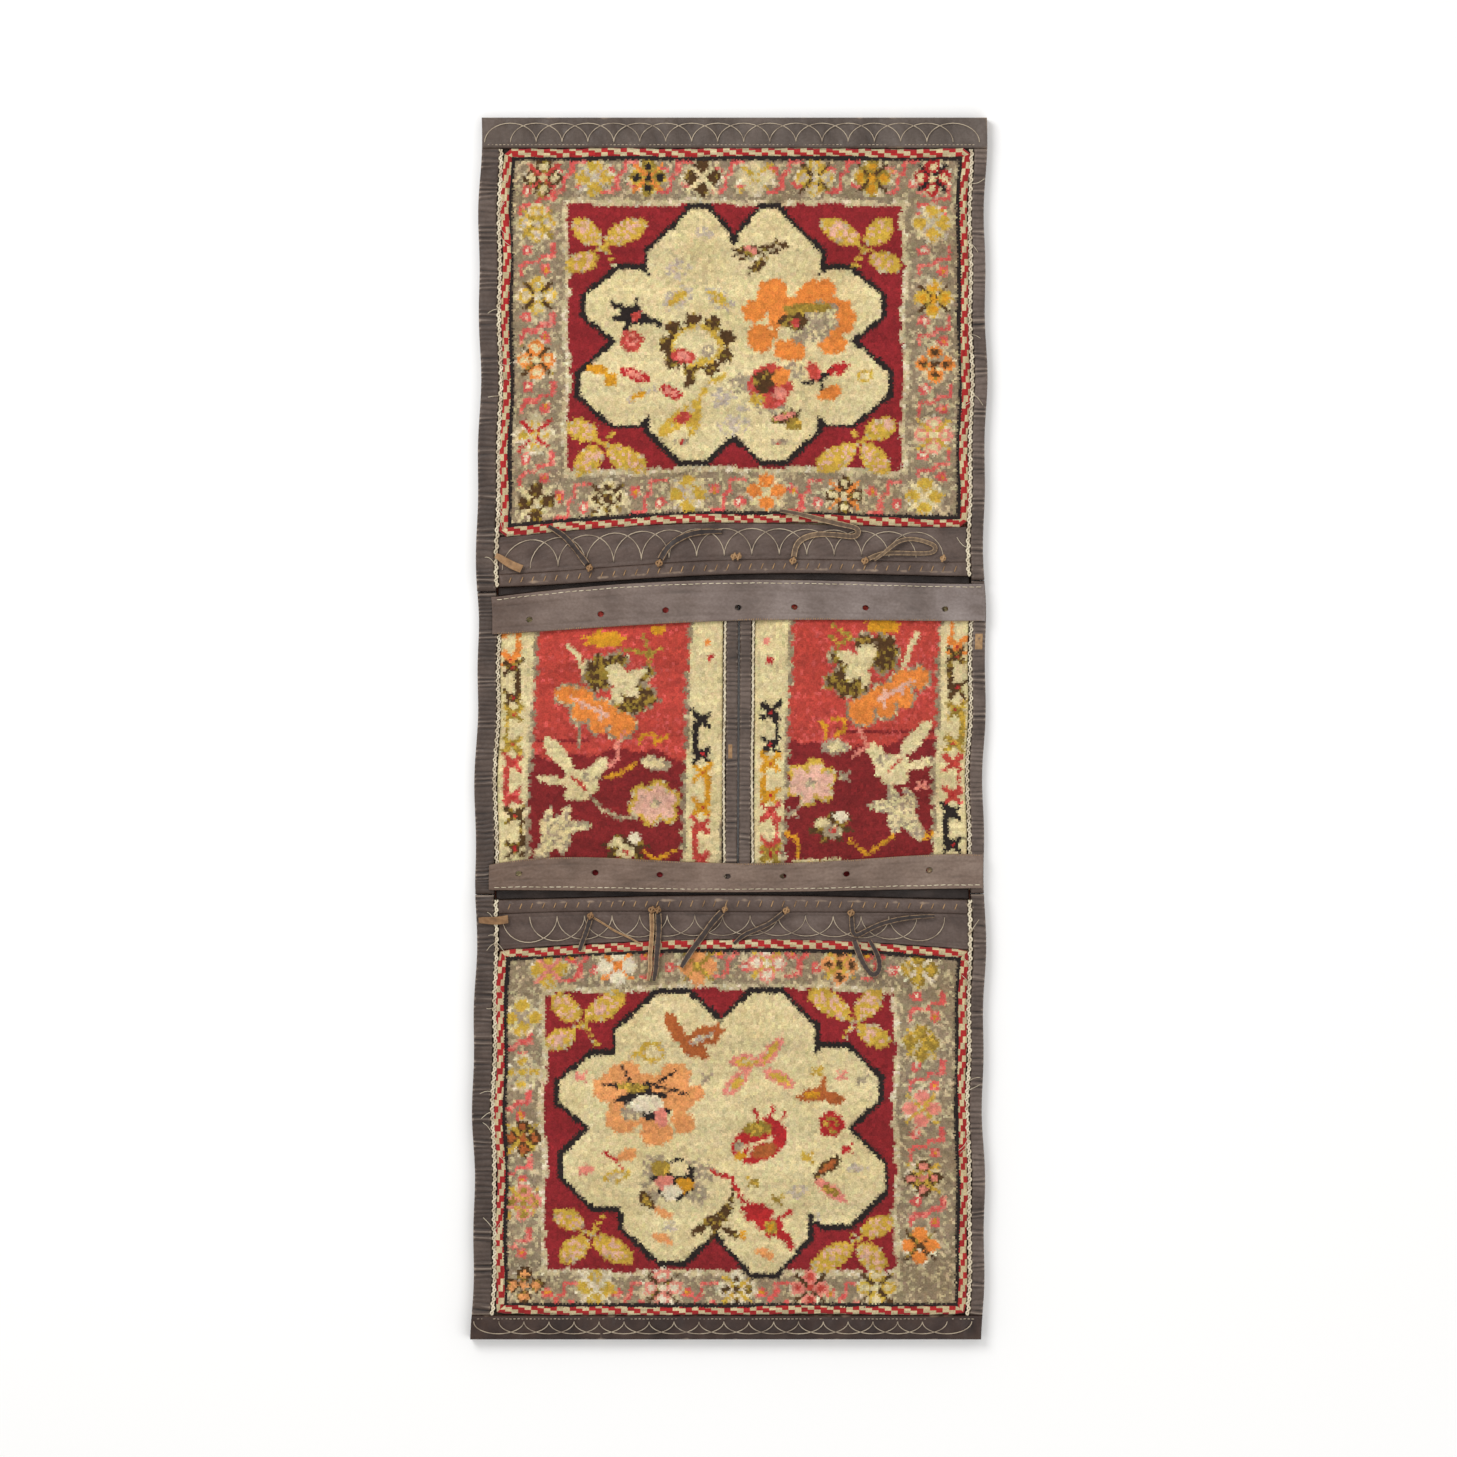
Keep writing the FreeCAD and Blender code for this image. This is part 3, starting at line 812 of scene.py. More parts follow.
class Loom:
    """A carpet on the loom: one wool for each knot, drawn in millimetres from a chosen middle."""

    def __init__(self, span: Span, knot: float, ground: Wool, middle: Place) -> None:
        """Strings the loom.

        Args:
            span: the carpet's space.
            knot: the size of a knot.
            ground: the wool that is there before anything is drawn.
            middle: the place that drawings are measured from.
        """
        self.span = span
        self.columns = round((span.right - span.left) / knot)
        self.rows = round((span.high - span.low) / knot)
        across = (np.arange(self.columns) + 0.5) / self.columns
        along = (np.arange(self.rows) + 0.5) / self.rows
        self.x, self.y = np.meshgrid(
            span.left + across * (span.right - span.left) - middle[0],
            span.low + along * (span.high - span.low) - middle[1])
        self.dyes = np.zeros((self.rows, self.columns, 3))
        self.dice = np.random.default_rng(self.rows)
        self.dye(np.ones_like(self.x, dtype=bool), ground)

    def dye(self, where: Array, wool: Wool, flecks: Wool | None = None) -> None:
        """Ties the chosen knots in a wool, with some in the flecks' wool or the one spun into it."""
        self.dyes[where] = wool.linear()
        other, share = (flecks, 0.4) if flecks else MIXED.get(wool, (wool, 0.0))
        self.dyes[where & (self.dice.random(where.shape) < share)] = other.linear()

    def leaf(
        self, x: float, y: float, long: float, wide: float, turn: float, wool: Wool,
        heart: Wool | None = None, ragged: float = 0.0, flecks: Wool | None = None,
    ) -> None:
        """An oval, perhaps with a heart of another wool and a ragged edge.

        Args:
            x: its middle across.
            y: its middle along.
            long: half its length.
            wide: half its width.
            turn: its heading in degrees.
            wool: its wool.
            heart: the wool of its inner half.
            ragged: how deep its edge is notched, from 0 to 1.
            flecks: a wool tied here and there in it.
        """
        way = np.radians(turn)
        dx = self.x - x
        dy = self.y - y
        u = (dx * np.cos(way) + dy * np.sin(way)) / long
        v = (dy * np.cos(way) - dx * np.sin(way)) / wide
        notches = 1 - ragged * (0.5 + 0.5 * np.sin(7 * np.arctan2(v, u) + x))
        size = np.hypot(u, v)
        self.dye(size < notches, wool, flecks)
        if heart:
            self.dye(size < 0.55, heart)

    def spray(
        self, x: float, y: float, leaves: Sequence[tuple[float, ...]], wool: Wool, ragged: float = 0.0,
        flip: int = 1, grow: float = 0.0, flecks: Wool | None = None,
    ) -> None:
        """Several ovals of one wool.

        Args:
            x: the middle that they are placed from, across.
            y: the same, along.
            leaves: each one's place, half its length, half its width and its heading.
            wool: their wool.
            ragged: how notched their edges are.
            flip: -1 where they are mirrored.
            grow: how much larger each one is than given.
            flecks: a wool tied here and there in them.
        """
        for dx, dy, long, wide, turn in leaves:
            size = (long + grow, wide + grow)
            self.leaf(x + dx * flip, y + dy, *size, turn * flip, wool, ragged=ragged, flecks=flecks)

    def leaves(self, *several: tuple) -> None:
        """Several ovals, one over another, each given as to leaf."""
        for each in several:
            self.leaf(*each)

    def disc(self, x: float, y: float, radius: float, wool: Wool) -> None:
        """A round spot."""
        self.leaf(x, y, radius, radius, 0, wool)

    def gem(self, x: float, y: float, long: float, wide: float, wool: Wool) -> None:
        """A shape of eight sides, upright, given by its middle and half its length and width."""
        u = np.abs(self.x - x) / long
        v = np.abs(self.y - y) / wide
        self.dye(np.maximum.reduce((u, v, (u + v) / 1.28)) < 1, wool)

    def line(self, wool: Wool, *places: Place, width: float = 3.0) -> None:
        """A stem or outline through several places."""
        for (x0, y0), (x1, y1) in zip(places, places[1:]):
            dx = x1 - x0
            dy = y1 - y0
            along = ((self.x - x0) * dx + (self.y - y0) * dy) / (dx * dx + dy * dy)
            along = np.clip(along, 0, 1)
            away = np.hypot(self.x - x0 - along * dx, self.y - y0 - along * dy)
            self.dye(away < width / 2 + 0.4, wool)

    def ring_of_petals(
        self, x: float, y: float, reach: Place, petal: Place, count: int, wool: Wool, ragged: float = 0.0,
    ) -> None:
        """Petals set round a middle.

        Args:
            x: the middle across.
            y: the middle along.
            reach: how far the petals' middles stand from it, across and along.
            petal: each petal's half length and half width.
            count: how many there are.
            wool: their wool.
            ragged: how notched they are.
        """
        for n in range(count):
            turn = 360 * n / count + 18
            px = x + reach[0] * np.cos(np.radians(turn))
            py = y + reach[1] * np.sin(np.radians(turn))
            self.leaf(px, py, petal[0], petal[1], turn, wool, ragged=ragged)

    def rosette(self, x: float, y: float, petals: Wool, cross: Wool, heart: Wool | None = None) -> None:
        """A border flower: four round petals with a cross between them."""
        around = ((12, 0), (-12, 0), (0, 12), (0, -12))
        for dx, dy in around:
            self.leaf(x + dx, y + dy, 10, 9, 0, SAND)
        for dx, dy in around:
            self.leaf(x + dx, y + dy, 8, 7.4, 0, petals, heart)
        for dx, dy in ((1, 1), (-1, 1), (1, -1), (-1, -1)):
            self.line(cross, (x, y), (x + 15 * dx, y + 14 * dy), width=2.8)
        self.disc(x, y, 4, heart or cross)

    def sprig(self, x: float, y: float, flip: int, rise: int) -> None:
        """A corner spray of three speckled leaves on a stem, its leaves away from the stem."""
        for step in range(6):
            self.line(
                GOLD, (x + 3.4 * step * flip, y - 5.4 * step * rise),
                (x + 3.4 * step * flip + 4, y - 5.4 * step * rise), width=2.6)
        self.line(GOLD, (x + 5 * flip, y + 4 * rise), (x - 7 * flip, y - 2 * rise), width=3.4)
        leaves = ((-17, 18, 19, 12, -45), (24, 18, 24, 12, 30), (-23, -14, 18, 11, 22))
        for dx, dy, long, wide, turn in leaves:
            heading = turn * flip * rise
            self.leaf(x + dx * flip, y + dy * rise, long, wide, heading, GOLD)
            self.leaf(x + dx * flip, y + dy * rise, long - 4, wide - 3.5, heading, GOLD, flecks=PINK)

    def hook(self, x: float, y: float, wool: Wool, flip: int = 1) -> None:
        """The border's angular running hook."""
        for dy in (17, -17):
            for ex, ey in ((8, 7), (-8, 7), (8, -7), (-8, -7)):
                self.line(wool, (x, y + dy), (x + ex, y + dy + ey), width=4.8)
            self.disc(x, y + dy, 5, wool)
            self.disc(x, y + dy, 1.8, MADDER)
        self.line(wool, (x + 6 * flip, y + 15), (x + 7 * flip, y - 15), width=4.6)
        self.line(wool, (x + 8 * flip, y + 22), (x + 10 * flip, y + 27), width=3.4)

    def cross(self, x: float, y: float, wool: Wool) -> None:
        """A small filling cross."""
        self.line(wool, (x - 5, y - 4), (x + 5, y + 4), width=2.4)
        self.line(wool, (x - 5, y + 4), (x + 5, y - 4), width=2.4)

    def weathered(self, seed: int) -> Array:
        """The knots' colours with the unevenness of hand-dyed wool.

        Args:
            seed: the start of the chance differences.

        Returns:
            A colour for each knot.
        """
        dice = np.random.default_rng(seed)
        rows = np.linspace(0, 1, self.rows)[:, None]
        bands = 1 + 0.06 * np.sin(rows * 31 + 1.3) + 0.045 * np.sin(rows * 83) + 0.03 * np.sin(rows * 211)
        knots = 1 + 0.12 * dice.standard_normal((self.rows, self.columns))
        warm = 1 + 0.03 * dice.standard_normal((self.rows, self.columns, 3))
        return np.clip(self.dyes * (bands * np.clip(knots, 0.72, 1.3))[:, :, None] * warm, 0, 1)


@dataclass
class Pile:
    """A knotted carpet, each knot a small tuft with its own colour."""

    name: str
    loom: Loom
    bottom: float
    top: float
    tuft: float = 1.3
    rim: float = 2.5
    seed: int = 5
    crown: Callable[[Array, Array], Array] | None = None

    def build(self) -> Piece:
        """Makes the carpet, in millimetres, with its knots' colours.

        Returns:
            The piece.
        """
        s = self.loom.span
        columns = self.loom.columns
        rows = self.loom.rows
        xs = np.linspace(s.left, s.right, 2 * columns + 1)
        ys = np.linspace(s.low, s.high, 2 * rows + 1)
        piece, lines, layers = carpet_grid(self.name, 2 * columns, 2 * rows)
        self.colour(piece, columns, rows)
        dice = np.random.default_rng(self.seed)
        tufts = dice.uniform(0.6, 1.15, (rows + 1, columns + 1))
        column, row = lines.T
        x = xs[column]
        y = ys[row]
        on_tuft = (column % 2 == 1) & (row % 2 == 1)
        between_rows = row % 2 == 0
        height = np.where(on_tuft, tufts[row // 2, column // 2], np.where(between_rows, 0.0, 0.45))
        inward = np.minimum.reduce((x - s.left, s.right - x, y - s.low, s.high - y))
        near = np.clip(inward, 0, self.rim)
        fall = self.rim - np.sqrt(np.maximum(self.rim ** 2 - (self.rim - near) ** 2, 0))
        crown = self.crown(x, y) if self.crown else 0
        top = self.top + crown - fall - self.tuft * (1 - height)
        sway = dice.uniform(-0.5, 0.5, (2, *tufts.shape))[:, row // 2, column // 2] * on_tuft
        z = np.where(layers == 1, top, self.bottom)
        put_points(piece, np.column_stack((x + sway[0] * layers, y + sway[1] * layers, z)))
        return piece

    def colour(self, piece: Piece, columns: int, rows: int) -> None:
        """Gives each face the colour of its knot, while the grid is still two units wide."""
        middles = face_middles(piece)
        faces = len(middles)
        dice = np.random.default_rng(self.seed + 1)
        knots = self.loom.weathered(self.seed)
        dyes = np.zeros((faces, 3))
        for stray, share in ((0.3, 0.65), (0.75, 0.35)):
            away = dice.uniform(-stray, stray, (2, faces))
            column = np.clip(((middles[:, 0] + 1) / 2 * columns + away[0]).astype(int), 0, columns - 1)
            row = np.clip(((middles[:, 1] + 1) / 2 * rows + away[1]).astype(int), 0, rows - 1)
            dyes += share * knots[row, column]
        paint(piece, dyes)


def paint(piece: Piece, dyes: Array) -> None:
    """Stores one colour for each face of a piece.

    Args:
        piece: the piece.
        dyes: the colours, in the faces' order.
    """
    sides = np.empty(len(piece.data.polygons), dtype=int)
    piece.data.polygons.foreach_get("loop_total", sides)
    layer = piece.data.color_attributes.new("dye", "FLOAT_COLOR", "CORNER")
    corners = np.repeat(np.column_stack((dyes, np.ones(len(dyes)))), sides, axis=0)
    layer.data.foreach_set("color", corners.ravel())


# The carpets' drawings.

KNOT = 3.2

# Each medallion's lobes: the middle across and along, half the width and half the height.
UPPER_LOBES = (
    (0, 11, 110, 90), (-42, 90, 48, 43), (42, 90, 48, 43), (-37, 106, 33, 40), (37, 106, 33, 40),
    (-110, 44, 46, 37), (110, 44, 46, 37), (-112, -37, 49, 42), (112, -37, 49, 42),
    (-42, -73, 47, 46), (42, -73, 47, 46), (-78, 62, 16, 18), (78, 62, 16, 18),
)
LOWER_LOBES = (
    (0, 3, 112, 95), (-52, 91, 58, 50), (46, 93, 52, 49), (-122, 43, 47, 38), (118, 46, 46, 41),
    (-120, -34, 46, 43), (120, -47, 49, 49), (-52, -87, 49, 46), (45, -95, 46, 51),
    (-92, -72, 16, 16),
)


@dataclass(frozen=True)
class Borders:
    """The frames of a pouch's carpet, as distances from the medallion's middle."""

    left: float
    right: float
    low: float
    high: float
    line: float = 5.5


def woven_frame(loom: Loom, borders: Borders, flowers: Sequence[Place]) -> None:
    """Weaves the border, with its running vine and small buds, and the red field inside.

    Args:
        loom: the carpet.
        borders: the field's four sides.
        flowers: the middles of the border's flowers, which the vine runs between.
    """
    b = borders
    rows = (
        sorted(x for x, y in flowers if y > b.high), sorted(x for x, y in flowers if y < b.low),
        sorted(y for x, y in flowers if x < b.left), sorted(y for x, y in flowers if x > b.right))
    for row, across in zip(rows, ((0, b.high + 30), (0, b.low - 30), (b.left - 34, 0), (b.right + 34, 0))):
        for first, second in zip(row, row[1:]):
            middle = (first + second) / 2
            if across[0]:
                vine(loom, across[0], middle, True)
            else:
                vine(loom, middle, across[1], False)
    sway_x = 1.6 * np.sin(loom.y / 17) + 0.9 * np.sin(loom.y / 5)
    sway_y = 1.6 * np.sin(loom.x / 21) + 0.9 * np.sin(loom.x / 6)
    for grow, wool in ((b.line, SAND), (0, RED)):
        across = (loom.x + sway_x > b.left - grow) & (loom.x + sway_x < b.right + grow)
        loom.dye(across & (loom.y + sway_y > b.low - grow) & (loom.y + sway_y < b.high + grow), wool)


def vine(loom: Loom, x: float, y: float, upright: bool) -> None:
    """One stepped turn of the border's vine, with its buds.

    Args:
        loom: the carpet.
        x: its middle across.
        y: its middle along.
        upright: True in the side borders, where the vine runs along Y.
    """
    steps = ((17, 17), (3, 17), (3, 5), (-4, 0), (-4, -14), (-17, -17))
    turned = [(x + v, y + u * 0.9) if upright else (x + u, y + v) for u, v in steps]
    loom.line(VINE, *turned, width=3.2)
    for u, v in ((-13, 6), (13, -7)):
        px, py = (x + v * 1.5, y + u * 0.8) if upright else (x + u, y + v)
        loom.leaf(px, py, 6, 5.4, 0, VINE)
        loom.disc(px, py, 2.4, AMBER if u < 0 else WHITE)


def border_and_corners(
    loom: Loom, borders: Borders, flowers: Sequence[tuple], corners: Sequence[tuple[int, ...]],
) -> None:
    """A pouch carpet's border with its flowers, and the sprays in the field's corners.

    Args:
        loom: the carpet.
        borders: the field's four sides.
        flowers: each border flower, as for a rosette.
        corners: each corner spray, as for a sprig.
    """
    woven_frame(loom, borders, [flower[:2] for flower in flowers])
    for flower in flowers:
        loom.rosette(*flower)
    for corner in corners:
        loom.sprig(*corner)


def black_rim(loom: Loom, width: float) -> None:
    """The dark line that runs all round inside the edge."""
    left = loom.x.min()
    right = loom.x.max()
    low = loom.y.min()
    high = loom.y.max()
    loom.dye((loom.x < left + width) | (loom.x > right - width), BLACK)
    loom.dye((loom.y < low + width) | (loom.y > high - width), BLACK)


def lobed_ground(loom: Loom, lobes: Sequence[tuple[float, ...]], outline: float = 6.0) -> None:
    """A cream medallion of joined lobes with a black outline."""
    for grow, wool in ((outline, BLACK), (0, CREAM)):
        for x, y, long, wide in lobes:
            loom.gem(x, y, long + grow, wide + grow, wool)


def orange_peony(loom: Loom, x: float, y: float) -> None:
    """The big orange flower with its grey eye."""
    petals = (
        (-28, 26, 20, 17, 60), (19, 28, 22, 15, 15), (43, 3, 18, 21, 0), (35, -24, 17, 13, 0),
        (-9, -32, 18, 13, -10), (-40, -19, 15, 16, 0), (-46, 9, 14, 12, 0), (-3, 0, 30, 28, 0),
    )
    loom.spray(x, y, petals, ORANGE, 0.1)
    loom.leaf(x + 18, y - 2, 29, 22, 35, GREY, ragged=0.2)
    loom.leaf(x + 8, y - 14, 22, 11, 10, GREY, ragged=0.2)
    loom.leaf(x + 10, y + 13, 25, 6, 3, OLIVE)
    loom.leaf(x - 5, y - 1, 16, 9, 0, BROWN)
    loom.disc(x - 3, y - 2, 4.5, CORAL)
    loom.disc(x - 15, y - 14, 8, CREAM)


def brown_wreath(loom: Loom, x: float, y: float) -> None:
    """A cream flower in a ring of brown petals."""
    loom.ring_of_petals(x, y, (30, 25), (12, 10), 9, BROWN, ragged=0.25)
    loom.leaves(
        (x, y, 27, 22, 0, GOLD), (x - 1, y - 1, 24, 18, 0, CREAM), (x - 15, y - 11, 13, 8, -10, CORAL, ROSE),
        (x + 12, y - 5, 8, 6, 0, GREY), (x + 7, y - 16, 9, 4, 20, GOLD))


def mixed_rosette(loom: Loom, x: float, y: float) -> None:
    """A small round flower of many wools in a grey halo."""
    loom.leaf(x - 31, y + 2, 17, 12, 20, GREY, ragged=0.35)
    loom.leaf(x + 23, y + 17, 18, 9, -20, GREY, ragged=0.35)
    loom.leaf(x, y - 21, 20, 9, 0, GREY, ragged=0.35)
    loom.disc(x, y, 23, CORAL)
    loom.disc(x - 5, y + 5, 12, BROWN)
    loom.leaves(
        (x + 12, y + 10, 9, 10, -30, ORANGE), (x + 9, y - 7, 9, 6, 0, ROSE), (x - 13, y - 14, 9, 6, 0, GOLD))
    loom.disc(x + 2, y - 4, 4, RED)


def black_bird(loom: Loom, x: float, y: float) -> None:
    """A small black bird with a red heart."""
    loom.leaf(x, y, 17, 10, -12, BLACK, ragged=0.25)
    limbs = (
        (-16, 9, 12, 3.4, -28), (-15, -2, 9, 3, 10), (20, -6, 11, 4, -20), (-7, -11, 9, 3.4, 55),
        (2, 12, 9, 2.4, 75))
    loom.spray(x, y, limbs, BLACK)
    loom.disc(x + 1, y, 5, CORAL)


def gold_trumpet(loom: Loom, x: float, y: float) -> None:
    """A gold flower like a trumpet, rising on its stem."""
    loom.line(GOLD, (x + 12, y + 12), (x + 28, y + 36), (x + 44, y + 44), width=4.6)
    loom.leaves(
        (x - 6, y - 3, 24, 8, 38, GOLD), (x + 13, y, 20, 8, 82, GOLD), (x + 1, y, 9, 5.5, 20, CORAL))


def weave_upper_medallion(loom: Loom) -> None:
    """The upper medallion's ground, outline and flowers."""
    lobed_ground(loom, UPPER_LOBES)
    loom.leaf(-59, 83, 15, 14, 0, LILAC, ragged=0.3)
    loom.leaf(-31, 121, 14, 6, 0, LILAC, ragged=0.3)
    for x, turn in ((-59, 35), (-16, -35)):
        loom.leaf(x, 52, 18, 11, turn, LILAC, ragged=0.2)
        loom.leaf(x, 52, 12, 5, turn, GOLD)
    orange_peony(loom, 68, 29)
    loom.spray(0, 0, ((12, 100, 18, 9, 10), (40, 104, 20, 8, 18), (25, 86, 14, 7, 40)), BROWN, 0.4)
    loom.leaf(17, 103, 8, 3.5, -20, ROSE)
    loom.line(SAND, (3, 97), (21, 93), (49, 107), width=2)
    brown_wreath(loom, -39, 2)
    mixed_rosette(loom, 38, -41)
    black_bird(loom, -105, 34)
    loom.disc(-108, 8, 12, CORAL)
    loom.disc(-108, 8, 7, ROSE)
    loom.cross(-108, 8, CORAL)
    loom.leaves(
        (-144, -21, 13, 5, -12, AMBER), (-130, -32, 8, 7, 0, AMBER), (-104, -28, 18, 6, -25, MADDER, ROSE),
        (-99, -49, 18, 5, 25, LILAC, AMBER), (-66, -47, 13, 6, -25, MADDER, ROSE),
        (-47, -37, 8, 4, 30, BROWN))
    gold_trumpet(loom, -54, -74)
    loom.spray(0, 0, ((-12, -53, 18, 12, 15), (0, -83, 22, 12, 15), (10, -67, 11, 8, 15)), LILAC, 0.35)
    loom.line(BLACK, (73, -37), (90, -35), (102, -22))
    loom.line(BLACK, (94, -28), (93, -42))
    loom.leaf(84, -25, 11, 8, -60, CORAL, ragged=0.2)
    loom.leaf(111, -22, 15, 7, 20, MADDER, ragged=0.4)
    loom.leaf(101, -48, 14, 7, 20, ORANGE)
    loom.leaf(138, -29, 9, 6, 0, GOLD, CREAM)
    loom.leaf(54, -73, 20, 6, 20, BROWN, ROSE, ragged=0.3)
    loom.leaf(64, -81, 9, 7, 0, OLIVE)
    for x in (-56, 48):
        loom.leaf(x, -99, 10, 3, 0, GREY)
        loom.disc(x + 1, -100, 2.2, MADDER)


def weave_upper_carpet(loom: Loom) -> None:
    """The whole drawing of the upper pouch's carpet."""
    top = (
        (-202, 179, BROWN, CORAL, CREAM), (-148, 179, GOLD, LILAC),
        (-91, 179, OLIVE, ORANGE, BLACK), (-34, 179, BROWN, CREAM),
        (22, 179, SAND, GOLD, CREAM), (85, 179, GOLD, BROWN, LILAC),
        (145, 179, OLIVE, BROWN, AMBER), (209, 179, MADDER, BLACK, CREAM),
    )
    sides = (
        (-207, 131, GOLD, OLIVE, LILAC), (-207, 55, GOLD, BROWN, SAND),
        (-209, -11, ORANGE, BROWN, CREAM), (-209, -86, SAND, MADDER, GOLD),
        (210, 131, GOLD, LILAC), (211, 52, GOLD, BROWN, AMBER),
        (211, -16, ORANGE, GREY, BROWN), (211, -90, ROSE, GOLD, CREAM),
    )
    bottom = (
        (-207, -154, BROWN, CREAM), (-132, -156, CREAM, BROWN, BROWN),
        (-47, -154, GOLD, LILAC), (35, -152, ORANGE, CREAM),
        (117, -154, BROWN, ORANGE, CREAM), (202, -154, GOLD, CREAM),
    )
    corners = ((-138, 104, 1, 1), (136, 104, -1, 1), (-136, -98, 1, -1), (132, -98, -1, -1))
    border_and_corners(loom, Borders(-174, 177, -126, 150), top + sides + bottom, corners)
    weave_upper_medallion(loom)
    black_rim(loom, 5)


def peach_peony(loom: Loom, x: float, y: float) -> None:
    """The lower medallion's peach flower with its jagged black eye."""
    petals = (
        (-21, 31, 20, 15, 20), (-38, 18, 16, 14, 0), (-24, -14, 18, 14, -30), (14, -28, 18, 14, 0),
        (42, -17, 14, 11, -30), (38, 8, 18, 14, 0), (52, 12, 13, 9, 0), (31, 28, 20, 15, 20),
        (0, 6, 36, 28, 0),
    )
    loom.spray(x, y, petals, APRICOT, 0.1)
    loom.leaf(x, y + 5, 30, 21, -15, BLACK, ragged=0.45)
    loom.leaves(
        (x - 13, y + 19, 20, 4, -5, OLIVE), (x - 11, y - 6, 12, 10, 0, GREY), (x + 4, y + 2, 17, 9, 0, WHITE),
        (x + 19, y - 12, 7, 9, 20, ROSE))
    for ax, ay, bx, by in ((-12, 21, -22, 40), (12, 22, 33, 34), (14, 20, 45, 12), (-26, 20, -40, 21)):
        loom.line(BLACK, (x + ax, y + ay), (x + bx, y + by), width=2.6)


def grey_chrysanthemum(loom: Loom, x: float, y: float) -> None:
    """A round flower of four wools in a dark ring and a grey halo."""
    for dx, dy in ((-21, 10), (25, 8), (21, -17), (-20, -14)):
        loom.leaf(x + dx, y + dy, 19, 14, -15, GREY, ragged=0.35)
    loom.leaf(x - 2, y - 2, 24, 23, 0, BLACK, ragged=0.15)
    quarters = (
        (-16, 9, OLIVE), (3, 9, CREAM), (-12, -6, ROSE), (8, -9, AMBER), (-5, -16, WHITE))
    for dx, dy, wool in quarters:
        loom.leaf(x + dx, y + dy, 10, 8, 10, wool)


def red_paisley(loom: Loom, x: float, y: float) -> None:
    """A curled red bud with feelers."""
    loom.leaves(
        (x, y - 6, 31, 21, 25, MADDER), (x - 2, y + 7, 15, 7, 4, OLIVE), (x + 5, y - 16, 14, 7, 15, RUST))
    loom.disc(x - 21, y - 12, 6.5, GREY)
    loom.leaf(x - 21, y - 22, 6, 4, 0, AMBER)
    loom.line(CREAM, (x - 12, y - 20), (x - 8, y - 9), (x + 14, y - 3), width=2.4)
    for dx, dy, ex, ey in ((-2, 14, -5, 26), (9, 14, 15, 29), (19, 11, 27, 22)):
        loom.line(MADDER, (x + dx, y + dy), (x + ex, y + ey), width=2.6)


def red_and_brown_branches(loom: Loom) -> None:
    """The jagged red branch and the brown tree at the lower medallion's foot."""
    loom.line(MADDER, (-9, -41), (10, -46), (14, -56), (24, -72), width=3.6)
    reds = ((38, -83, 20, 12, -20), (52, -98, 19, 12, -35), (70, -113, 13, 5, -62), (66, -86, 11, 3.6, 30))
    loom.spray(0, 0, reds, MADDER, 0.25)
    loom.disc(52, -99, 7.5, OLIVE)
    loom.disc(52, -99, 3, AMBER)
    browns = ((-8, -92, 22, 8, 30), (-24, -101, 15, 4.5, 20), (6, -80, 16, 6, 62), (10, -104, 14, 4.5, -25))
    loom.spray(0, 0, browns, BROWN, 0.45)
    loom.line(BROWN, (13, -57), (8, -78), (-12, -112), width=3)


def weave_lower_medallion(loom: Loom) -> None:
    """The lower medallion's ground, outline and flowers."""
    lobed_ground(loom, LOWER_LOBES)
    peach_peony(loom, -82, 28)
    grey_chrysanthemum(loom, -47, -45)
    loom.leaf(-73, 83, 14, 11, 0, GOLD, CREAM)
    loom.line(GOLD, (-97, 79), (-86, 81))
    loom.spray(0, 0, ((-49, 105, 22, 8, -58), (-19, 97, 25, 11, 22), (-27, 82, 16, 7, -15)), RUST, 0.2)
    loom.leaf(-23, 95, 16, 4, 22, LILAC, ragged=0.4)
    for x, y, turn in ((15, 51, 45), (60, 56, -25), (51, 82, 50), (25, 72, 0)):
        loom.leaf(x, y, 18, 7, turn, ROSE)
        loom.leaf(x, y, 13, 3.6, turn, GOLD)
    red_paisley(loom, 40, -2)
    loom.spray(0, 0, ((97, 38, 21, 7, 4), (105, 48, 11, 4, 65), (119, 35, 12, 6, -10)), RUST, 0.2)
    loom.leaf(94, 39, 8, 4, 0, AMBER)
    loom.disc(115, 9, 13, MADDER)
    loom.disc(115, 9, 8, OLIVE)
    loom.cross(115, 9, MADDER)
    specks = (
        (125, 59, ROSE), (131, -16, MADDER), (99, 62, GOLD), (58, -70, OLIVE),
        (104, -87, LILAC), (-16, 55, GREY), (34, -51, OLIVE), (147, 54, GREY),
        (-148, 58, ROSE), (19, -107, AMBER), (-54, -97, LILAC), (89, -25, GOLD))
    for x, y, wool in specks:
        loom.cross(x, y, wool)
    loom.leaf(111, -35, 17, 6, 40, BROWN, RUST)
    loom.leaf(141, -35, 15, 7, 10, LILAC, ragged=0.3)
    loom.leaf(80, -61, 13, 7, 20, LILAC, ragged=0.3)
    loom.leaf(114, -60, 20, 6, -35, ROSE, OLIVE)
    red_and_brown_branches(loom)
    loom.line(MADDER, (-124, -19), (-111, -28), (-101, -40), width=2.6)
    loom.leaves(
        (-99, -23, 11, 6, 20, APRICOT), (-110, -45, 15, 7, 20, GOLD, SAND),
        (-78, -70, 12, 6, -45, BROWN, OLIVE))
    for x, y in ((-60, -84), (-61, -110), (46, -126)):
        loom.leaf(x, y, 12, 4.5, -25, APRICOT)
    loom.leaf(-143, -38, 9, 6, 0, ROSE, ragged=0.3)


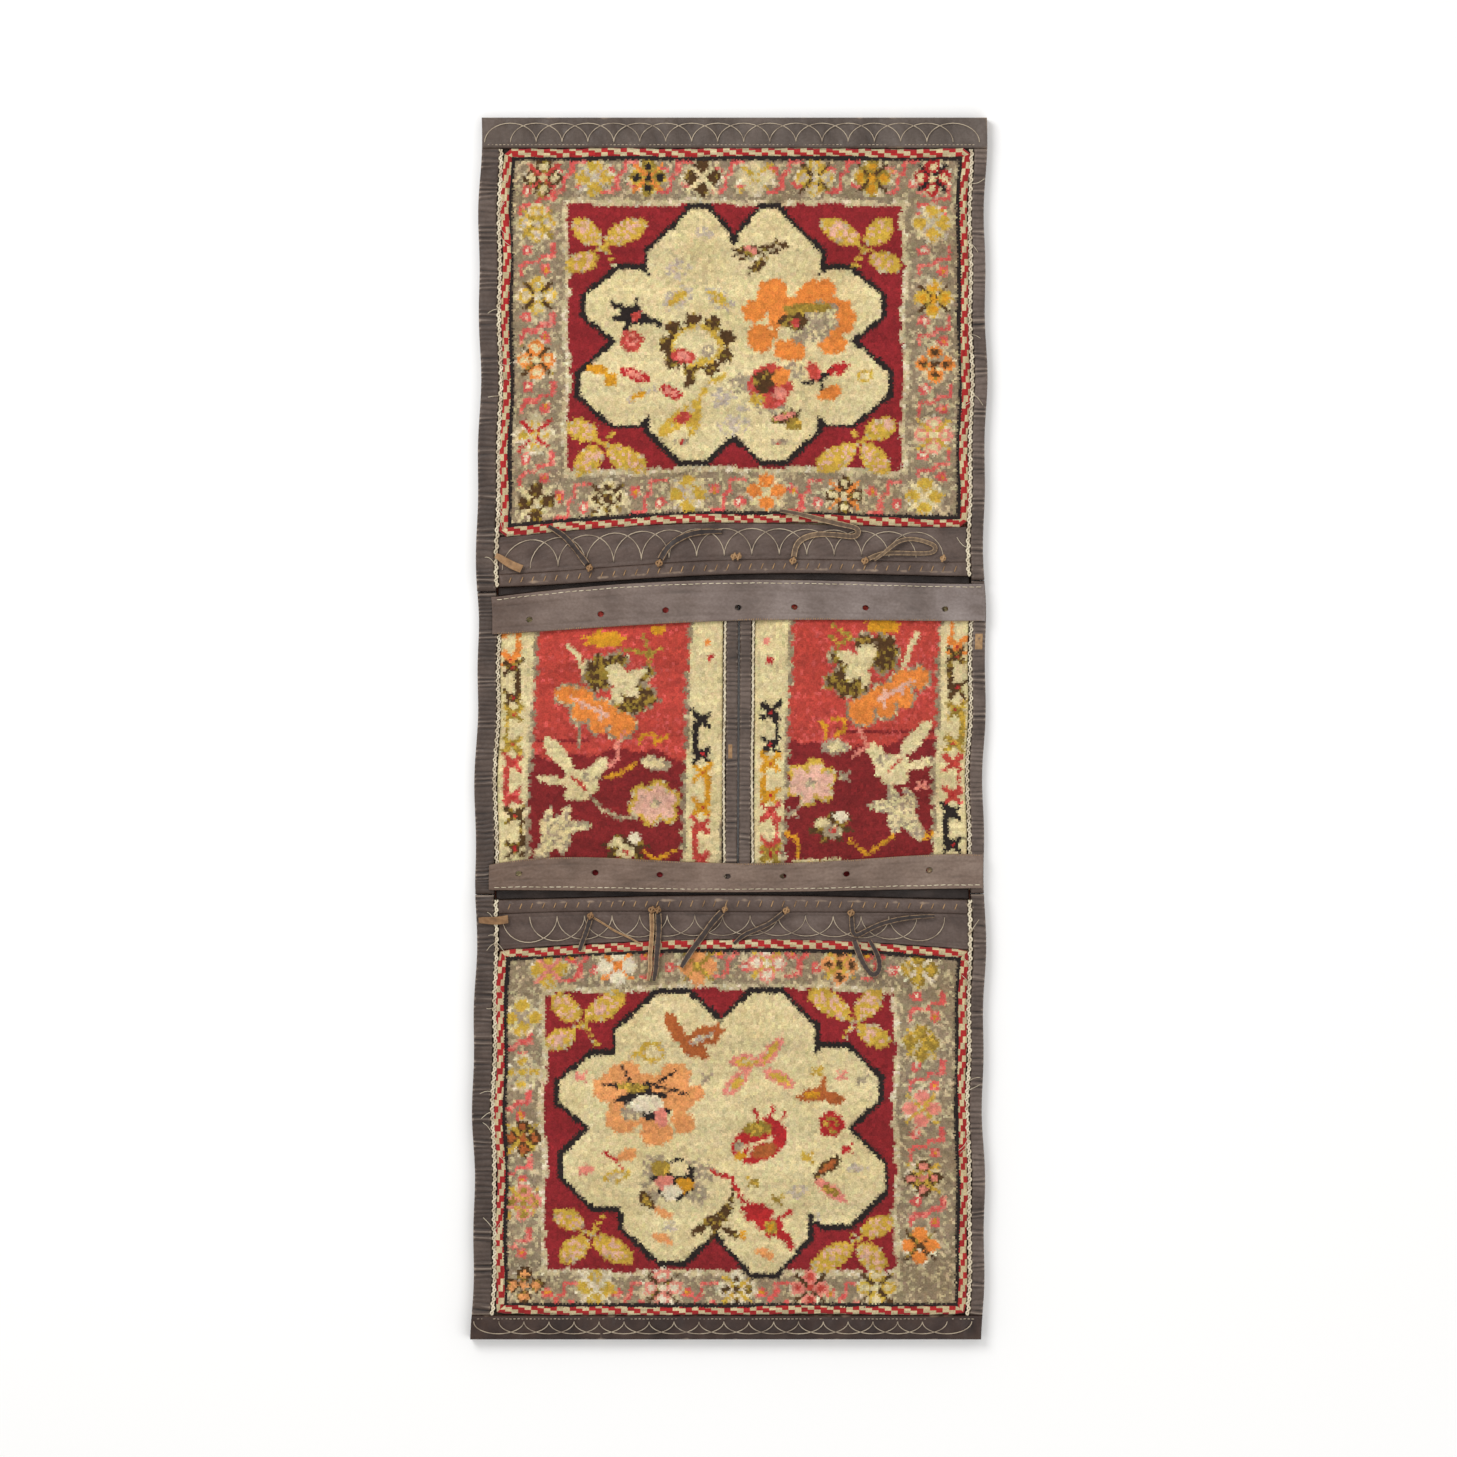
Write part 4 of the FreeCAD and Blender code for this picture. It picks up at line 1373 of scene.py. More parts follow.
def weave_lower_carpet(loom: Loom) -> None:
    """The whole drawing of the lower pouch's carpet."""
    top = (
        (-182, 171, GOLD, ROSE), (-110, 171, WHITE, ORANGE),
        (-26, 168, APRICOT, OLIVE), (47, 171, ROSE, GOLD, WHITE),
        (123, 171, APRICOT, GOLD, BROWN), (205, 171, OLIVE, WHITE, GOLD),
    )
    sides = (
        (-209, 122, GOLD, GREY), (-209, 64, SAND, GREY, GOLD),
        (-207, -5, BROWN, GOLD, RUST), (-207, -72, ROSE, GOLD, OLIVE),
        (209, 94, OLIVE, GOLD), (210, 26, ROSE, GOLD),
        (210, -47, BROWN, GOLD, ROSE), (208, -118, ORANGE, BROWN),
    )
    bottom = (
        (-206, -160, BROWN, GREY, APRICOT), (-131, -163, GOLD, WHITE),
        (-61, -162, ROSE, BROWN, WHITE), (17, -164, WHITE, GOLD, BROWN),
        (93, -163, ROSE, BROWN, CORAL), (162, -162, GOLD, BROWN, CREAM),
    )
    corners = ((-146, 112, 1, 1), (136, 114, -1, 1), (-137, -104, 1, -1), (140, -112, -1, -1))
    border_and_corners(loom, Borders(-184, 180, -144, 145), top + sides + bottom, corners)
    weave_lower_medallion(loom)
    black_rim(loom, 5)


def pink_blossom(loom: Loom, x: float, y: float) -> None:
    """The bridge's six-petalled pink flower with gold edges."""
    loom.ring_of_petals(x, y, (17, 13), (12, 10), 6, GOLD)
    loom.ring_of_petals(x, y, (15, 11), (9, 7), 6, PINK)
    loom.disc(x, y, 9, PINK)
    loom.leaf(x, y, 6, 4, 0, GREY)


def orange_leaf(loom: Loom, x: float, y: float, flip: int) -> None:
    """A broad orange leaf, pale along its middle, with a grey edge."""
    lobes = (
        (-30, 17, 14, 11, 0), (-14, 12, 12, 13, 0), (-16, -3, 11, 10, 0), (2, 1, 15, 11, 0),
        (3, -15, 11, 10, 0), (18, -5, 13, 11, 0), (29, -15, 14, 12, 0), (26, -24, 12, 7, 0))
    for grow, wool in ((2.6, STONE), (0, ORANGE)):
        loom.spray(x, y, lobes, wool, 0.12, flip, grow)
    loom.line(PINK, (x - 26 * flip, y + 14), (x - 8 * flip, y + 4), (x + 12 * flip, y - 6), width=2.6)
    loom.line(PINK, (x - 16 * flip, y + 14), (x - 14 * flip, y + 2), width=2)
    loom.line(PINK, (x + 6 * flip, y + 4), (x + 4 * flip, y - 12), width=2)


def brown_and_cream_flower(loom: Loom, x: float, y: float, flip: int) -> None:
    """A ragged brown flower, edged with grey, with cream leaves across it."""
    browns = (
        (-17, 14, 16, 20, 0), (3, 26, 11, 8, 0), (30, 9, 12, 6, 25), (25, -10, 23, 11, -20),
        (16, -21, 18, 9, -10))
    loom.spray(x, y, browns, STONE, 0.22, flip, grow=3)
    loom.spray(x, y, browns, BROWN, 0.22, flip, flecks=OLIVE)
    creams = ((8, 4, 22, 10, -48), (0, 17, 9, 6, 0), (20, 10, 14, 6, 20), (2, -12, 9, 5, -60))
    loom.spray(x, y, creams, CREAM, flip=flip)


def bird_with_wings(loom: Loom, x: float, y: float, flip: int) -> None:
    """A pale bird in flight, wings raised."""
    feathers = (
        (-20, 21, 24, 8, -50), (-27, -5, 15, 5, -10), (3, -8, 19, 13, -10), (17, 2, 21, 8, 52),
        (0, -21, 15, 6, 0))
    loom.spray(x, y, feathers, CREAM, flip=flip)
    loom.leaf(x + 13 * flip, y - 2, 8, 6, 0, GREY)
    loom.line(CORAL, (x - 7 * flip, y), (x + 8 * flip, y - 14), width=2.2)


def pale_leaf(loom: Loom, x: float, y: float, flip: int) -> None:
    """A torn-edged pale leaf with a grey shade."""
    lobes = (
        (-10, 0, 21, 14, 50), (-20, 15, 13, 5, 65), (8, 6, 18, 6, 5), (-1, 17, 13, 5, 75),
        (-23, -17, 16, 8, 60), (-2, -13, 11, 5, 70))
    loom.spray(x, y, lobes, CREAM, flip=flip, flecks=GREY)


def dark_rosette(loom: Loom, x: float, y: float, heart: Wool) -> None:
    """A ragged brown flower with pale petals and a spot."""
    loom.leaf(x, y, 25, 17, 0, BROWN, ragged=0.4)
    loom.leaf(x + 10, y + 11, 8, 6, 0, WHITE, ragged=0.2)
    loom.leaf(x - 10, y + 5, 9, 6, 0, CREAM, ragged=0.2)
    loom.leaf(x + 1, y - 4, 10, 7, 0, heart)
    loom.disc(x + 1, y - 4, 3.5, CORAL)


def weave_left_strip(loom: Loom) -> None:
    """The drawing of the bridge's left strip, measured from the middle of the bag."""
    loom.dye(loom.y < -26 + 5 * np.sin(loom.x / 23) + 3 * np.sin(loom.x / 7), DARK_RED)
    loom.line(DARK_RED, (-205, -12), (-150, -14), width=2)
    loom.line(CREAM, (-172, 90), (-161, 80), (-154, 57), width=4.5)
    loom.line(OLIVE, (-110, 84), (-84, 77), (-87, 63))
    loom.line(OLIVE, (-92, 98), (-85, 77), (-74, 84))
    loom.leaf(-134, 96, 24, 10, 0, AMBER, ragged=0.25)
    loom.leaf(-76, 103, 9, 5, 0, AMBER)
    orange_leaf(loom, -142, 20, 1)
    brown_and_cream_flower(loom, -122, 46, 1)
    loom.line(STONE, (-169, 12), (-159, 0), (-160, -20))
    loom.line(ROSE, (-112, -3), (-120, -18), (-117, -30), (-134, -44))
    loom.line(AMBER, (-96, -16), (-93, -6), (-80, -6), (-81, -15), (-66, -8))
    bird_with_wings(loom, -160, -49, 1)
    loom.line(AMBER, (-131, -51), (-117, -48), (-98, -35))
    loom.leaf(-78, -36, 16, 7, -10, GREY, CREAM)
    pink_blossom(loom, -79, -77)
    loom.line(STONE, (-146, -70), (-136, -84), (-115, -94), (-98, -92))
    pale_leaf(loom, -172, -109, 1)
    dark_rosette(loom, -110, -124, CREAM)
    loom.line(AMBER, (-89, -128), (-78, -135), (-58, -124))
    strip_borders(loom, (-252, -211), (-44, -7))
    for y, wool in ((97, ORANGE), (52, BROWN), (0, OLIVE), (-53, CORAL), (-106, BROWN)):
        loom.hook(-229 - y * 0.03, y, wool, 1 if y > 20 or y < -60 else -1)
    loom.disc(-24, 88, 4, ORANGE)
    loom.disc(-22, 73, 3, MADDER)
    for y, wool, flip in ((-9, BLACK, -1), (-62, AMBER, 1), (-115, CORAL, -1)):
        loom.hook(-30, y, wool, flip)


def weave_right_strip(loom: Loom) -> None:
    """The drawing of the bridge's right strip, measured from the middle of the bag."""
    loom.dye(loom.y < -14 + 5 * np.sin(loom.x / 27) + 3 * np.sin(loom.x / 7), DARK_RED)
    loom.line(DARK_RED, (120, -2), (212, -4), width=2)
    loom.leaf(160, 103, 20, 8, 0, AMBER, ragged=0.2)
    loom.line(OLIVE, (104, 93), (114, 86), (113, 76))
    loom.line(OLIVE, (106, 104), (128, 90), (114, 86))
    loom.line(CREAM, (196, 96), (188, 80), (181, 62), width=4.5)
    orange_leaf(loom, 166, 34, -1)
    brown_and_cream_flower(loom, 144, 61, -1)
    loom.line(AMBER, (92, 8), (101, 3), (101, -11))
    loom.line(AMBER, (106, 9), (120, 8), (120, -3), (110, -6))
    loom.leaf(110, -19, 16, 7, 0, GREY, CREAM)
    bird_with_wings(loom, 174, -32, -1)
    loom.line(ROSE, (136, 0), (144, -18), (130, -28))
    pink_blossom(loom, 85, -55)
    dark_rosette(loom, 107, -101, GREY)
    pale_leaf(loom, 170, -88, -1)
    loom.line(AMBER, (59, -105), (71, -112), (71, -129))
    loom.line(AMBER, (125, -115), (144, -131), (172, -112))
    loom.leaf(92, -140, 33, 9, 0, CREAM)
    loom.leaf(92, -141, 30, 7, 0, OLIVE)
    for x, y, wool in ((120, -49, GREY), (203, -60, ROSE), (66, -84, GREY), (209, -114, AMBER)):
        loom.cross(x, y, wool)
    strip_borders(loom, (20, 58), (219, 256))
    loom.disc(40, 68, 3.5, MADDER)
    loom.disc(38, 88, 3, ROSE)
    for y, wool, flip in ((0, BLACK, 1), (-51, AMBER, -1), (-101, CORAL, 1), (-143, OLIVE, 1)):
        loom.hook(42, y, wool, flip)
    for y, wool in ((101, ORANGE), (57, BROWN), (1, OLIVE), (-55, CORAL), (-108, BLACK)):
        loom.hook(236 + y * 0.02, y, wool, -1 if y > 20 or y < -60 else 1)


def strip_borders(loom: Loom, *borders: Place) -> None:
    """Cream borders along a strip, each edged with a stepped grey line and leaning a little."""
    lean = loom.x - 0.03 * loom.y
    steps = 1.6 * np.sign(np.sin(loom.y * 0.43))
    for low, high in borders:
        loom.dye((lean > low - 4 + steps) & (lean < high + 4 + steps), STONE)
        loom.dye((lean > low) & (lean < high), CREAM)


# The cords.

@dataclass(frozen=True)
class Lace:
    """A leather lace or loose strand: its line from where it comes out to its end, in metres."""

    name: str
    route: tuple[tuple[float, float, float], ...]
    finish: Finish = Finish.LACE
    width: float = 6.4
    thickness: float = 2.2
    twist: float = 0.0

    def line(self) -> Array:
        """The lace's smooth middle line, read from its spline.

        Returns:
            The line's points, in metres.
        """
        curve = bpy.data.curves.new(f"{self.name}_line", "CURVE")
        curve.dimensions = "3D"
        spline = curve.splines.new("NURBS")
        spline.points.add(len(self.route) - 1)
        for point, place in zip(spline.points, self.route):
            point.co = (*place, 1)
        spline.order_u = 3
        spline.use_endpoint_u = True
        holder = bpy.data.objects.new(curve.name, curve)
        bpy.context.collection.objects.link(holder)
        mesh = bpy.data.meshes.new_from_object(holder)
        line = np.array([vertex.co for vertex in mesh.vertices])
        bpy.data.meshes.remove(mesh)
        bpy.data.objects.remove(holder)
        return line

    def build(self, settle: Settling) -> None:
        line = self.line()
        along = np.arange(len(line), dtype=float)
        across = np.array([-1, -0.86, -0.5, 0, 0.5, 0.86, 1])
        piece, lines, layers = layered_grid(self.name, along, across)
        heading = np.gradient(line, axis=0)
        heading /= np.linalg.norm(heading, axis=1)[:, None]
        side = np.cross(heading, (0, 0, 1))
        side /= np.linalg.norm(side, axis=1)[:, None]
        rise = np.cross(side, heading)
        share = along / along[-1]
        angle = np.radians(self.twist) * np.sin(share * 5.2)
        new_side = side * np.cos(angle)[:, None] + rise * np.sin(angle)[:, None]
        new_rise = rise * np.cos(angle)[:, None] - side * np.sin(angle)[:, None]
        half_width = self.width / 2 * (1 - 0.28 * share ** 6) * (1 + 0.05 * np.sin(share * 17))
        station = lines[:, 0]
        reach = across[lines[:, 1]]
        edge = np.sqrt(np.maximum(1 - reach ** 2, 0)) * 0.7 + 0.3
        cup = 0.16 * self.width * (reach ** 2 - 0.4) * np.cos(share[station] * 4) ** 2
        lift = (layers - 0.5) * self.thickness * edge + cup
        points = line[station] / MM
        points = points + new_side[station] * (reach * half_width[station])[:, None]
        points = points + new_rise[station] * lift[:, None]
        put_points(piece, points)
        fibres = 0.12 * np.sin(station * 0.9) + 0.1 * np.sin(station * 2.3 + reach * 3)
        set_wear_and_shade(piece, np.where(np.abs(reach) > 0.8, 1.0, 0.42) + fibres)
        pouch = self.name.split("_")[0]
        settle(piece, self.finish, [self.name], f"{pouch}_front", lies=False)


LACES = (
    Lace("upper_thong_left", (
        (-0.1505, 0.1725, 0.0174), (-0.158, 0.1825, 0.0168), (-0.168, 0.1955, 0.0146),
        (-0.1785, 0.205, 0.0154), (-0.191, 0.212, 0.0179)), twist=18),
    Lace("upper_thong_curved", (
        (-0.0735, 0.1775, 0.0173), (-0.069, 0.187, 0.0149), (-0.0585, 0.197, 0.0145),
        (-0.0435, 0.2045, 0.0145), (-0.025, 0.2075, 0.0146), (-0.009, 0.207, 0.0145)), twist=12),
    Lace("upper_thong_folded", (
        (0.0665, 0.18, 0.0166), (0.0675, 0.19, 0.0147), (0.0745, 0.1995, 0.0145), (0.0905, 0.2045, 0.0145),
        (0.1095, 0.2035, 0.0145), (0.122, 0.202, 0.0145), (0.129, 0.2015, 0.0148), (0.1335, 0.2035, 0.0156),
        (0.1345, 0.208, 0.0172), (0.13, 0.2115, 0.0188), (0.119, 0.2135, 0.0197), (0.102, 0.2175, 0.0201),
        (0.082, 0.2225, 0.02), (0.066, 0.2265, 0.02), (0.052, 0.2285, 0.0199)),
        Finish.PALE_LACE, width=5.6, thickness=1.8),
    Lace("upper_thong_doubled", (
        (0.145, 0.178, 0.0173), (0.155, 0.1835, 0.0154), (0.171, 0.1845, 0.0145), (0.189, 0.184, 0.0145),
        (0.202, 0.1838, 0.0145), (0.2105, 0.1843, 0.0146), (0.215, 0.187, 0.0148), (0.215, 0.1915, 0.0148),
        (0.2095, 0.1945, 0.0147), (0.199, 0.198, 0.0146), (0.187, 0.1995, 0.0152), (0.176, 0.1965, 0.017),
        (0.167, 0.1895, 0.019), (0.1585, 0.182, 0.0194), (0.1505, 0.1765, 0.0192)),
        Finish.PALE_LACE, width=4.4, thickness=1.7),
    Lace("lower_thong_left", (
        (-0.1475, -0.2005, 0.0144), (-0.1505, -0.211, 0.0148), (-0.1545, -0.2215, 0.0162),
        (-0.1585, -0.233, 0.0198)), width=5.4),
    Lace("lower_thong_tan", (
        (-0.0828, -0.1939, 0.0172), (-0.082, -0.2075, 0.0149), (-0.083, -0.2225, 0.017),
        (-0.0845, -0.24, 0.02), (-0.084, -0.253, 0.0202), (-0.0865, -0.2645, 0.02)),
        Finish.TAN, width=4.6, thickness=1.8),
    Lace("lower_thong_dark", (
        (-0.0758, -0.1939, 0.0172), (-0.0752, -0.2085, 0.0149), (-0.076, -0.2235, 0.0172),
        (-0.0775, -0.24, 0.0202), (-0.078, -0.253, 0.0204), (-0.0805, -0.2645, 0.0202)), width=6.2),
    Lace("lower_thong_middle", (
        (-0.009, -0.1925, 0.0172), (-0.0185, -0.202, 0.0152), (-0.028, -0.216, 0.0156),
        (-0.0385, -0.2295, 0.019), (-0.0475, -0.2435, 0.0202), (-0.0515, -0.2505, 0.02)), twist=14),
    Lace("lower_thong_right", (
        (0.0555, -0.1935, 0.0172), (0.0435, -0.204, 0.015), (0.0275, -0.211, 0.0147), (0.0125, -0.217, 0.015),
        (0.0035, -0.226, 0.0166)), width=5, thickness=1.8),
    Lace("lower_thong_turned", (
        (0.127, -0.1973, 0.016), (0.1275, -0.206, 0.0147), (0.1282, -0.2135, 0.0146),
        (0.131, -0.2173, 0.0152), (0.1352, -0.2165, 0.016), (0.143, -0.212, 0.017),
        (0.156, -0.2055, 0.0169), (0.174, -0.2005, 0.0166), (0.1945, -0.1975, 0.0172),
        (0.214, -0.1968, 0.0173)), width=5.2),
    Lace("lower_thong_loop", (
        (0.13, -0.2225, 0.0174), (0.134, -0.235, 0.0198), (0.139, -0.246, 0.0202), (0.1445, -0.2545, 0.0202),
        (0.149, -0.2585, 0.0201), (0.154, -0.257, 0.02), (0.1568, -0.2505, 0.0201), (0.1555, -0.241, 0.02),
        (0.1505, -0.23, 0.0197), (0.146, -0.2225, 0.0178)), width=6),
    Lace("lower_loose_strand", (
        (-0.1438, -0.1988, 0.0135), (-0.133, -0.205, 0.0139), (-0.1215, -0.213, 0.0137),
        (-0.107, -0.219, 0.014), (-0.094, -0.2265, 0.0155)), Finish.TAN, width=2, thickness=1.6),
)


# The sub-assemblies.

def zigzag(x: float, low: float, high: float, height: float, swing: float = 1.9, pitch: float = 9.7) -> list:
    """Two threads of a laced seam, crossing from side to side along Y.

    Args:
        x: the seam's line.
        low: its first end.
        high: its last end.
        height: the height of its middle.
        swing: how far a thread goes to each side.
        pitch: the length of one full swing.

    Returns:
        Both threads' points.
    """
    y = np.arange(low, high, pitch / 8)
    turn = 6.283 * y / pitch + Ripple(0.5, 60, 160, heading=90, spread=10, seed=4)(np.zeros_like(y), y)
    drift = Ripple(0.5, 90, 240, heading=90, spread=10, seed=9)(np.zeros_like(y), y)
    first = np.column_stack((x + drift + swing * np.sin(turn), y, height + 0.7 * np.cos(turn)))
    second = np.column_stack((x + drift - 0.35 * swing * np.sin(turn), y, np.full(len(y), height - 0.6)))
    return [first, second]


def loose_ends(x: float, low: float, high: float, height: float, count: int, seed: int) -> list:
    """Frayed thread ends that stand out from a seam.

    Args:
        x: the seam's line.
        low: its first end.
        high: its last end.
        height: the height of the seam.
        count: how many ends.
        seed: the start of the chance differences.

    Returns:
        Each end's points.
    """
    dice = np.random.default_rng(seed)
    runs = []
    for _ in range(count):
        start = dice.uniform(low + 20, high - 20)
        reach = dice.uniform(6, 14) * dice.choice((-1, 1))
        drop = dice.uniform(-14, 14)
        share = np.linspace(0, 1, 7)
        curl = dice.uniform(-3, 3) * np.sin(share * np.pi)
        rise = height + 1.6 * np.sin(share * 2.2) - 0.6 * share
        runs.append(np.column_stack((x + reach * share, start + drop * share + curl, rise)))
    return runs


def running_stitches(low: float, high: float, y: float, height: float, length: float, pitch: float) -> list:
    """A row of straight stitches along X, each a little arched."""
    runs = []
    for x in np.arange(low, high, pitch):
        steps = np.linspace(0, length, 4)
        rise = 0.5 * np.sin(steps / length * np.pi)
        runs.append(np.column_stack((x + steps, y + 0.08 * steps * np.sin(x), height + rise - 0.2)))
    return runs


def across_stitches(
    low: float, high: float, pitch: float, y: Place, height: float, slant: float = 0.6,
) -> list:
    """A row of stitches over an edge, side by side along X."""
    runs = []
    for n, x in enumerate(np.arange(low, high, pitch)):
        steps = np.linspace(0, 1, 4)
        lean = slant * (steps - 0.5) + 0.35 * np.sin(n * 2.3)
        rise = 0.9 * np.sin(steps * np.pi)
        runs.append(np.column_stack((x + lean, y[0] + (y[1] - y[0]) * steps, height + rise - 0.4)))
    return runs


def arches(low: float, high: float, foot: float, peak: float, height: float, width: float) -> list:
    """Overlapping half-round arches of stitching along a band.

    Args:
        low: where the row starts.
        high: where it ends.
        foot: the line that the arches stand on.
        peak: the line that they reach.
        height: the height of the thread.
        width: an arch's width, twice the distance from one arch to the next.

    Returns:
        Each arch's points.
    """
    runs = []
    turns = np.linspace(0, np.pi, 17)
    for x in np.arange(low, high - width + 1, width / 2):
        across = x + width / 2 * (1 - np.cos(turns))
        runs.append(np.column_stack((across, foot + (peak - foot) * np.sin(turns), np.full(17, height))))
    return runs


@dataclass
class Bridge:
    """The leather-bound bridge: two pile strips on linings, and the slit between them."""

    settle: Settling
    fold_room: float = 8.0
    pleat_pitch: float = 5.2
    slit_lap: float = 2.9
    seam_gap: float = 1.9
    slit_seam_gap: float = 1.6

    def build(self) -> None:
        """Makes every piece of the bridge."""
        self.linings()
        self.carpets()
        self.bindings()
        self.seams()
        self.welts()
        self.patches()

    def linings(self) -> None:
        """The flat-woven cloth under each strip."""
        for side in ("left", "right"):
            s = Span.of(f"bridge_lining_{side}")
            s = Span(s.left, s.low + self.fold_room, s.bottom, s.right, s.high - self.fold_room, s.top)
            waves = Ripple(0.25, 60, 140, seed=12)
            piece = Padding(f"bridge_lining_{side}", s, 6, 6, 0.8, relief=waves).build()
            self.settle(piece, Finish.CLOTH, [f"bridge_lining_{side}"], "bridge")
            s.flat()

    def carpets(self) -> None:
        """The two pile strips."""
        for side, weave in (("left", weave_left_strip), ("right", weave_right_strip)):
            s = Span.of(f"bridge_carpet_{side}")
            loom = Loom(s, KNOT, Wool.CORAL, (0, 0))
            weave(loom)
            swell = Ripple(0.5, 50, 130, seed=21)
            carpet = Pile(f"bridge_carpet_{side}", loom, s.bottom + 0.2, s.top - 0.6, crown=swell, seed=31)
            piece = self.settle(carpet.build(), Finish.PILE, [carpet.name], "bridge")
            s.flat()

    def bindings(self) -> None:
        """The puckered leather along the outer edges and along the slit."""
        for n, side in enumerate(("left", "right")):
            for name in (f"bridge_binding_{side}", f"slit_binding_{side}"):
                s = Span.of(name)
                if name.startswith("slit"):
                    inner = self.slit_lap if side == "left" else 0
                    s = Span(s.left - self.slit_lap + inner, s.low, s.bottom, s.right + inner, s.high, s.top)
                pucker = Pleats(1.5 if name.startswith("bridge") else 1.1, self.pleat_pitch, 40 + n)
                piece = Padding(name, s, 1.6, 1.1, 2.6, relief=pucker, worn=0.2).build()
                self.settle(piece, Finish.GUSSET, [name], "bridge")

    def seams(self) -> None:
        """The laced seams beside the leather."""
        s = Span.of("bridge_seam_cords")
        left = Span.of("bridge_binding_left")
        right = Span.of("bridge_binding_right")
        slit_left = Span.of("slit_binding_left")
        slit_right = Span.of("slit_binding_right")
        height = s.top - 0.8
        runs = []
        for x in (left.right + self.seam_gap, right.left - self.seam_gap):
            runs += zigzag(x, s.low, s.high, height)
        for x in (slit_left.left - self.slit_seam_gap, slit_right.right + self.slit_seam_gap):
            runs += zigzag(x, s.low, s.high, height, 0.9, 7)
        piece = threads("bridge_seam_cords", runs, 0.85)
        self.settle(piece, Finish.LINEN, ["bridge_seam_cords"], "bridge")

    def welts(self) -> None:
        """The leather welts that the closing straps are sewn to."""
        for name in ("upper_welt", "lower_welt"):
            piece = Padding(name, Span.of(name), 5, 1.5, 1.5, relief=Ripple(0.3, 8, 40, seed=15)).build()
            self.settle(piece, Finish.STRAP, [name], "bridge")

    def patches(self) -> None:
        """Two mended places: a leather patch on the slit and one on the right edge."""
        s = Span.of("bridge_patches")
        slit = Span.of("slit_binding_left")
        edge = Span.of("bridge_binding_right")
        places = (
            Span(slit.left + 2.6, -30, s.bottom, slit.right - 2.4, -16, s.top),
            Span(edge.left + 3, 80, s.bottom, edge.right - 3, 96, s.top),
        )
        grain = Ripple(0.2, 3, 9, seed=2)
        patches = [
            Padding("bridge_patches", place, 1, 1, 0.5, relief=grain, under=self.sunk).build()
            for place in places]
        take_up(*patches)
        bpy.ops.object.join()
        self.settle(patches[0], Finish.TAN, ["bridge_patches"], "bridge")

    @staticmethod
    def sunk(x: Array, y: Array) -> Array:
        """The patches' underside lies a little into the puckers."""
        return np.full_like(x, -1.2)


RING = 10.0


def round_the_ring(points: Array) -> tuple[Array, Array]:
    """How far round a cord's first ring each place is, from 0 to 1, and how far outside its middle."""
    turn = np.mod(np.arctan2(points[:, 1], points[:, 0]), 2 * np.pi) / (2 * np.pi)
    return turn, np.hypot(points[:, 0], points[:, 1]) - RING


